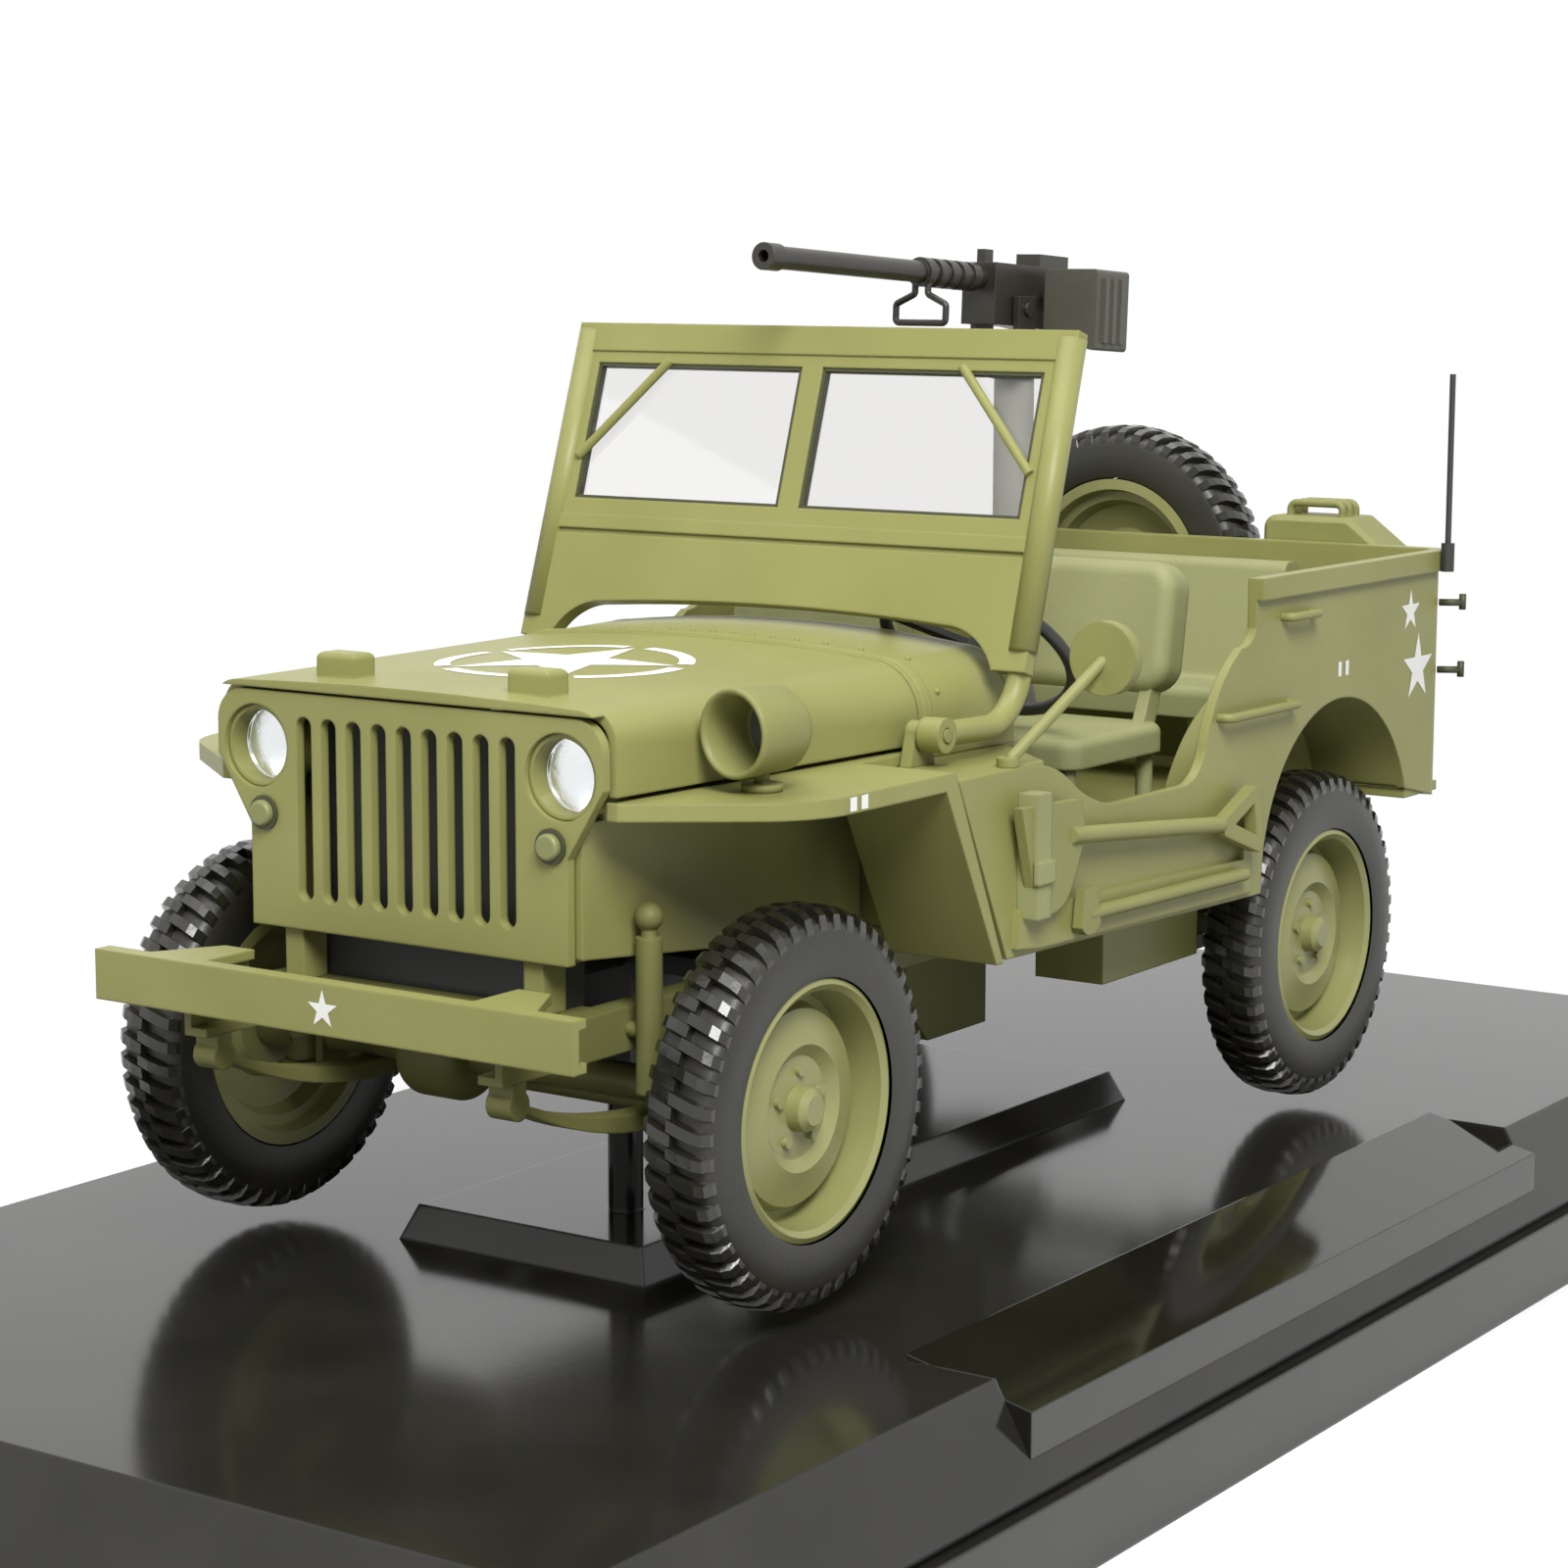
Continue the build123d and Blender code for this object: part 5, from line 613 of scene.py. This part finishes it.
def star(centre, size):
    points = []
    for step in range(10):
        angle = math.pi / 2 + step * math.pi / 5
        radius = size * (STAR_WAIST if step % 2 else 1.0)
        points.append((centre[0] + radius * math.cos(angle), centre[1] + radius * math.sin(angle)))
    return points


def block(centre, width, height):
    u, v = centre
    return [
        (u - width / 2, v - height / 2), (u + width / 2, v - height / 2),
        (u + width / 2, v + height / 2), (u - width / 2, v + height / 2)]


def ticks(width, height):
    return [block((-TICK_SHIFT, 0), width, height), block((TICK_SHIFT, 0), width, height)]


def ring(centre, inner, outer, gaps):
    """Arc pieces of a ring, left open round each angle in gaps."""
    pieces = []
    for step in range(RING_STEPS):
        turns = (360 * step / RING_STEPS, 360 * (step + 1) / RING_STEPS)
        middle = sum(turns) / 2
        if any(abs((middle - gap + 180) % 360 - 180) < wide for gap, wide in gaps):
            continue
        corners = []
        for radius, angle in ((inner, turns[0]), (outer, turns[0]), (outer, turns[1]), (inner, turns[1])):
            corners.append((
                centre[0] + radius * math.cos(math.radians(angle)),
                centre[1] + radius * math.sin(math.radians(angle))))
        pieces.append(corners)
    return pieces


def print_marks(name, cad_node, body, place, across, up, outlines, cuts=0):
    """Lays outlines, in millimetres in the plane of across and up, on a CAD node's surface."""
    normal = across.cross(up)
    skin = node_surface(cad_node)
    form = bmesh.new()
    for outline in outlines:
        form.faces.new([form.verts.new((u * MM, v * MM, 0)) for u, v in outline])
    bmesh.ops.triangulate(form, faces=form.faces[:])
    if cuts:
        bmesh.ops.subdivide_edges(form, edges=form.edges[:], cuts=cuts, use_grid_fill=True)
    for vertex in form.verts:
        start = place + across * vertex.co.x + up * vertex.co.y + normal * MARK_START * MM
        hit = skin.ray_cast(start, -normal, MARK_REACH * MM)[0]
        vertex.co = (hit if hit else start - normal * MARK_START * MM) + normal * MARK_LIFT * MM
    form.normal_update()
    link_piece(name, form, stencil_white, body)


BONNET_STAR_PLACE = spot(0, 8.8, 62.0)
BONNET_STAR_SIZE = 12.3
BONNET_RING = (12.0, 13.7)
# Where the star's points part the ring: the middle of each gap and half its width, in degrees
BONNET_RING_GAPS = [(90 + 72 * point, 5.0) for point in range(5)]
BUMPER_STAR_PLACE = spot(0, -29.8, 31.0)
BUMPER_STAR_SIZE = 2.0
QUARTER_PLACE = spot(40.3, 133.0, 52.0)
QUARTER_STAR_SIZE = 4.5
SMALL_STAR_SHIFT = (-2.6, 7.4)
SMALL_STAR_SIZE = 2.8
ARCH_TICK_PLACE = spot(40.3, 111.4, 53.9)
ARCH_TICK = (0.9, 1.8)
WING_TICK_PLACE = spot(41.0, 2.6, 50.95)
WING_TICK = (1.2, 1.4)
print_marks(
    "bonnet_star", "bonnet", "bonnet", BONNET_STAR_PLACE, LEFT, BACK,
    [star((0, 0), BONNET_STAR_SIZE)], cuts=7)
print_marks(
    "bonnet_ring", "bonnet", "bonnet", BONNET_STAR_PLACE, LEFT, BACK,
    ring((0, 0), *BONNET_RING, BONNET_RING_GAPS), cuts=1)
print_marks(
    "bumper_star", "front_bumper", "chassis", BUMPER_STAR_PLACE, LEFT, UP,
    [star((0, 0), BUMPER_STAR_SIZE)])
print_marks(
    "quarter_stars", "tub", "chassis", QUARTER_PLACE, BACK, UP,
    [star((0, 0), QUARTER_STAR_SIZE), star(SMALL_STAR_SHIFT, SMALL_STAR_SIZE)])
print_marks("arch_ticks", "tub", "chassis", ARCH_TICK_PLACE, BACK, UP, ticks(*ARCH_TICK))
print_marks("wing_ticks", "left_wing", "chassis", WING_TICK_PLACE, BACK, UP, ticks(*WING_TICK))

# Stage, light and camera
FLOOR_SIZE = 6.0
bpy.ops.mesh.primitive_plane_add(size=FLOOR_SIZE, location=(0, 0, 0))
floor = bpy.context.object
floor.name = "floor"
floor_material, floor_nodes, floor_links, floor_shader = new_material("floor_white")
# The floor is white where it is seen, in the picture or in a reflection, and lights the object little
FLOOR_UNSEEN = 0.42
FLOOR_SEEN = 0.93
FLOOR_ROUGHNESS = 0.9


def seen_ray(nodes, links):
    """1 for rays of the camera, through glass and off gloss, and 0 for the rest."""
    path = nodes.new("ShaderNodeLightPath")
    direct = nodes.new("ShaderNodeMath")
    direct.operation = "MAXIMUM"
    links.new(path.outputs["Is Camera Ray"], direct.inputs[0])
    links.new(path.outputs["Is Transmission Ray"], direct.inputs[1])
    mirrored = nodes.new("ShaderNodeMath")
    mirrored.operation = "MAXIMUM"
    links.new(direct.outputs["Value"], mirrored.inputs[0])
    links.new(path.outputs["Is Glossy Ray"], mirrored.inputs[1])
    return mirrored.outputs["Value"]


floor_seen = seen_ray(floor_nodes, floor_links)
floor_links.new(
    value_range(floor_nodes, floor_links, floor_seen, FLOOR_UNSEEN, FLOOR_SEEN),
    floor_shader.inputs["Base Color"])
floor_shader.inputs["Roughness"].default_value = FLOOR_ROUGHNESS
# Away from the plinth the floor turns into the white background wherever it is seen
FADE_START = 0.12
FADE_END = 0.30
floor_glow = floor_nodes.new("ShaderNodeEmission")
floor_glow.inputs["Color"].default_value = (1.0, 1.0, 1.0, 1.0)
floor_coords = floor_nodes.new("ShaderNodeTexCoord")
floor_distance = floor_nodes.new("ShaderNodeVectorMath")
floor_distance.operation = "LENGTH"
floor_links.new(floor_coords.outputs["Object"], floor_distance.inputs[0])
floor_fade = floor_nodes.new("ShaderNodeMapRange")
floor_fade.interpolation_type = "SMOOTHSTEP"
floor_fade.inputs["From Min"].default_value = FADE_START
floor_fade.inputs["From Max"].default_value = FADE_END
floor_links.new(floor_distance.outputs["Value"], floor_fade.inputs["Value"])
floor_white = floor_nodes.new("ShaderNodeMath")
floor_white.operation = "MULTIPLY"
floor_links.new(floor_fade.outputs["Result"], floor_white.inputs[0])
floor_links.new(floor_seen, floor_white.inputs[1])
floor_mix = floor_nodes.new("ShaderNodeMixShader")
floor_links.new(floor_white.outputs["Value"], floor_mix.inputs["Fac"])
floor_links.new(floor_shader.outputs["BSDF"], floor_mix.inputs[1])
floor_links.new(floor_glow.outputs["Emission"], floor_mix.inputs[2])
floor_links.new(floor_mix.outputs["Shader"], floor_nodes["Material Output"].inputs["Surface"])
floor.data.materials.append(floor_material)

world = bpy.data.worlds.new("studio")
bpy.context.scene.world = world
world.use_nodes = True
world_nodes = world.node_tree.nodes
world_links = world.node_tree.links
background = world_nodes["Background"]
background.inputs["Color"].default_value = (1.0, 1.0, 1.0, 1.0)
WORLD_LIGHT = 0.2
WORLD_SEEN = 1.0
world_links.new(
    value_range(world_nodes, world_links, seen_ray(world_nodes, world_links), WORLD_LIGHT, WORLD_SEEN),
    background.inputs["Strength"])

# Place, the point it faces, width and height in metres, watts, and whether gloss shows it
LIGHTS = {
    "key": ((0.42, -0.42, 0.60), (0, -0.04, 0.06), (0.35, 0.35), 7.6, True),
    "top": ((-0.1, -0.02, 0.95), (0, 0, 0.05), (0.7, 0.7), 4.5, True),
    "fill": ((-0.8, -0.55, 0.35), (0, 0, 0.06), (0.6, 0.4), 2.0, False),
}
for name, (location, target, size, power, in_gloss) in LIGHTS.items():
    data = bpy.data.lights.new(name, "AREA")
    data.shape = "RECTANGLE"
    data.size, data.size_y = size
    data.energy = power
    lamp = bpy.data.objects.new(name, data)
    bpy.context.scene.collection.objects.link(lamp)
    lamp.location = location
    lamp.rotation_mode = "QUATERNION"
    lamp.rotation_quaternion = (Vector(target) - Vector(location)).to_track_quat("-Z", "Y")
    lamp.visible_glossy = in_gloss

# The photograph's viewpoint, from the camera fit: turn about Z, tilt down, roll
CAMERA_PLACE = Vector((0.2298, -0.3472, 0.1253))
CAMERA_YAW = 34.5
CAMERA_PITCH = 8.43
CAMERA_ROLL = -0.13
SENSOR = 36.0
FOCAL_PIXELS = 3117.0
ZOOM = 1.17
PHOTO_PIXELS = 1600
CLIP_START = 0.01
camera_data = bpy.data.cameras.new("camera")
camera_data.sensor_width = SENSOR
camera_data.lens = SENSOR * FOCAL_PIXELS * ZOOM / PHOTO_PIXELS
camera_data.clip_start = CLIP_START
camera = bpy.data.objects.new("camera", camera_data)
bpy.context.scene.collection.objects.link(camera)
camera.location = CAMERA_PLACE
camera.rotation_euler = (
    math.radians(90.0 - CAMERA_PITCH), math.radians(CAMERA_ROLL), math.radians(CAMERA_YAW))
bpy.context.scene.camera = camera

bpy.context.scene.view_settings.view_transform = "Standard"
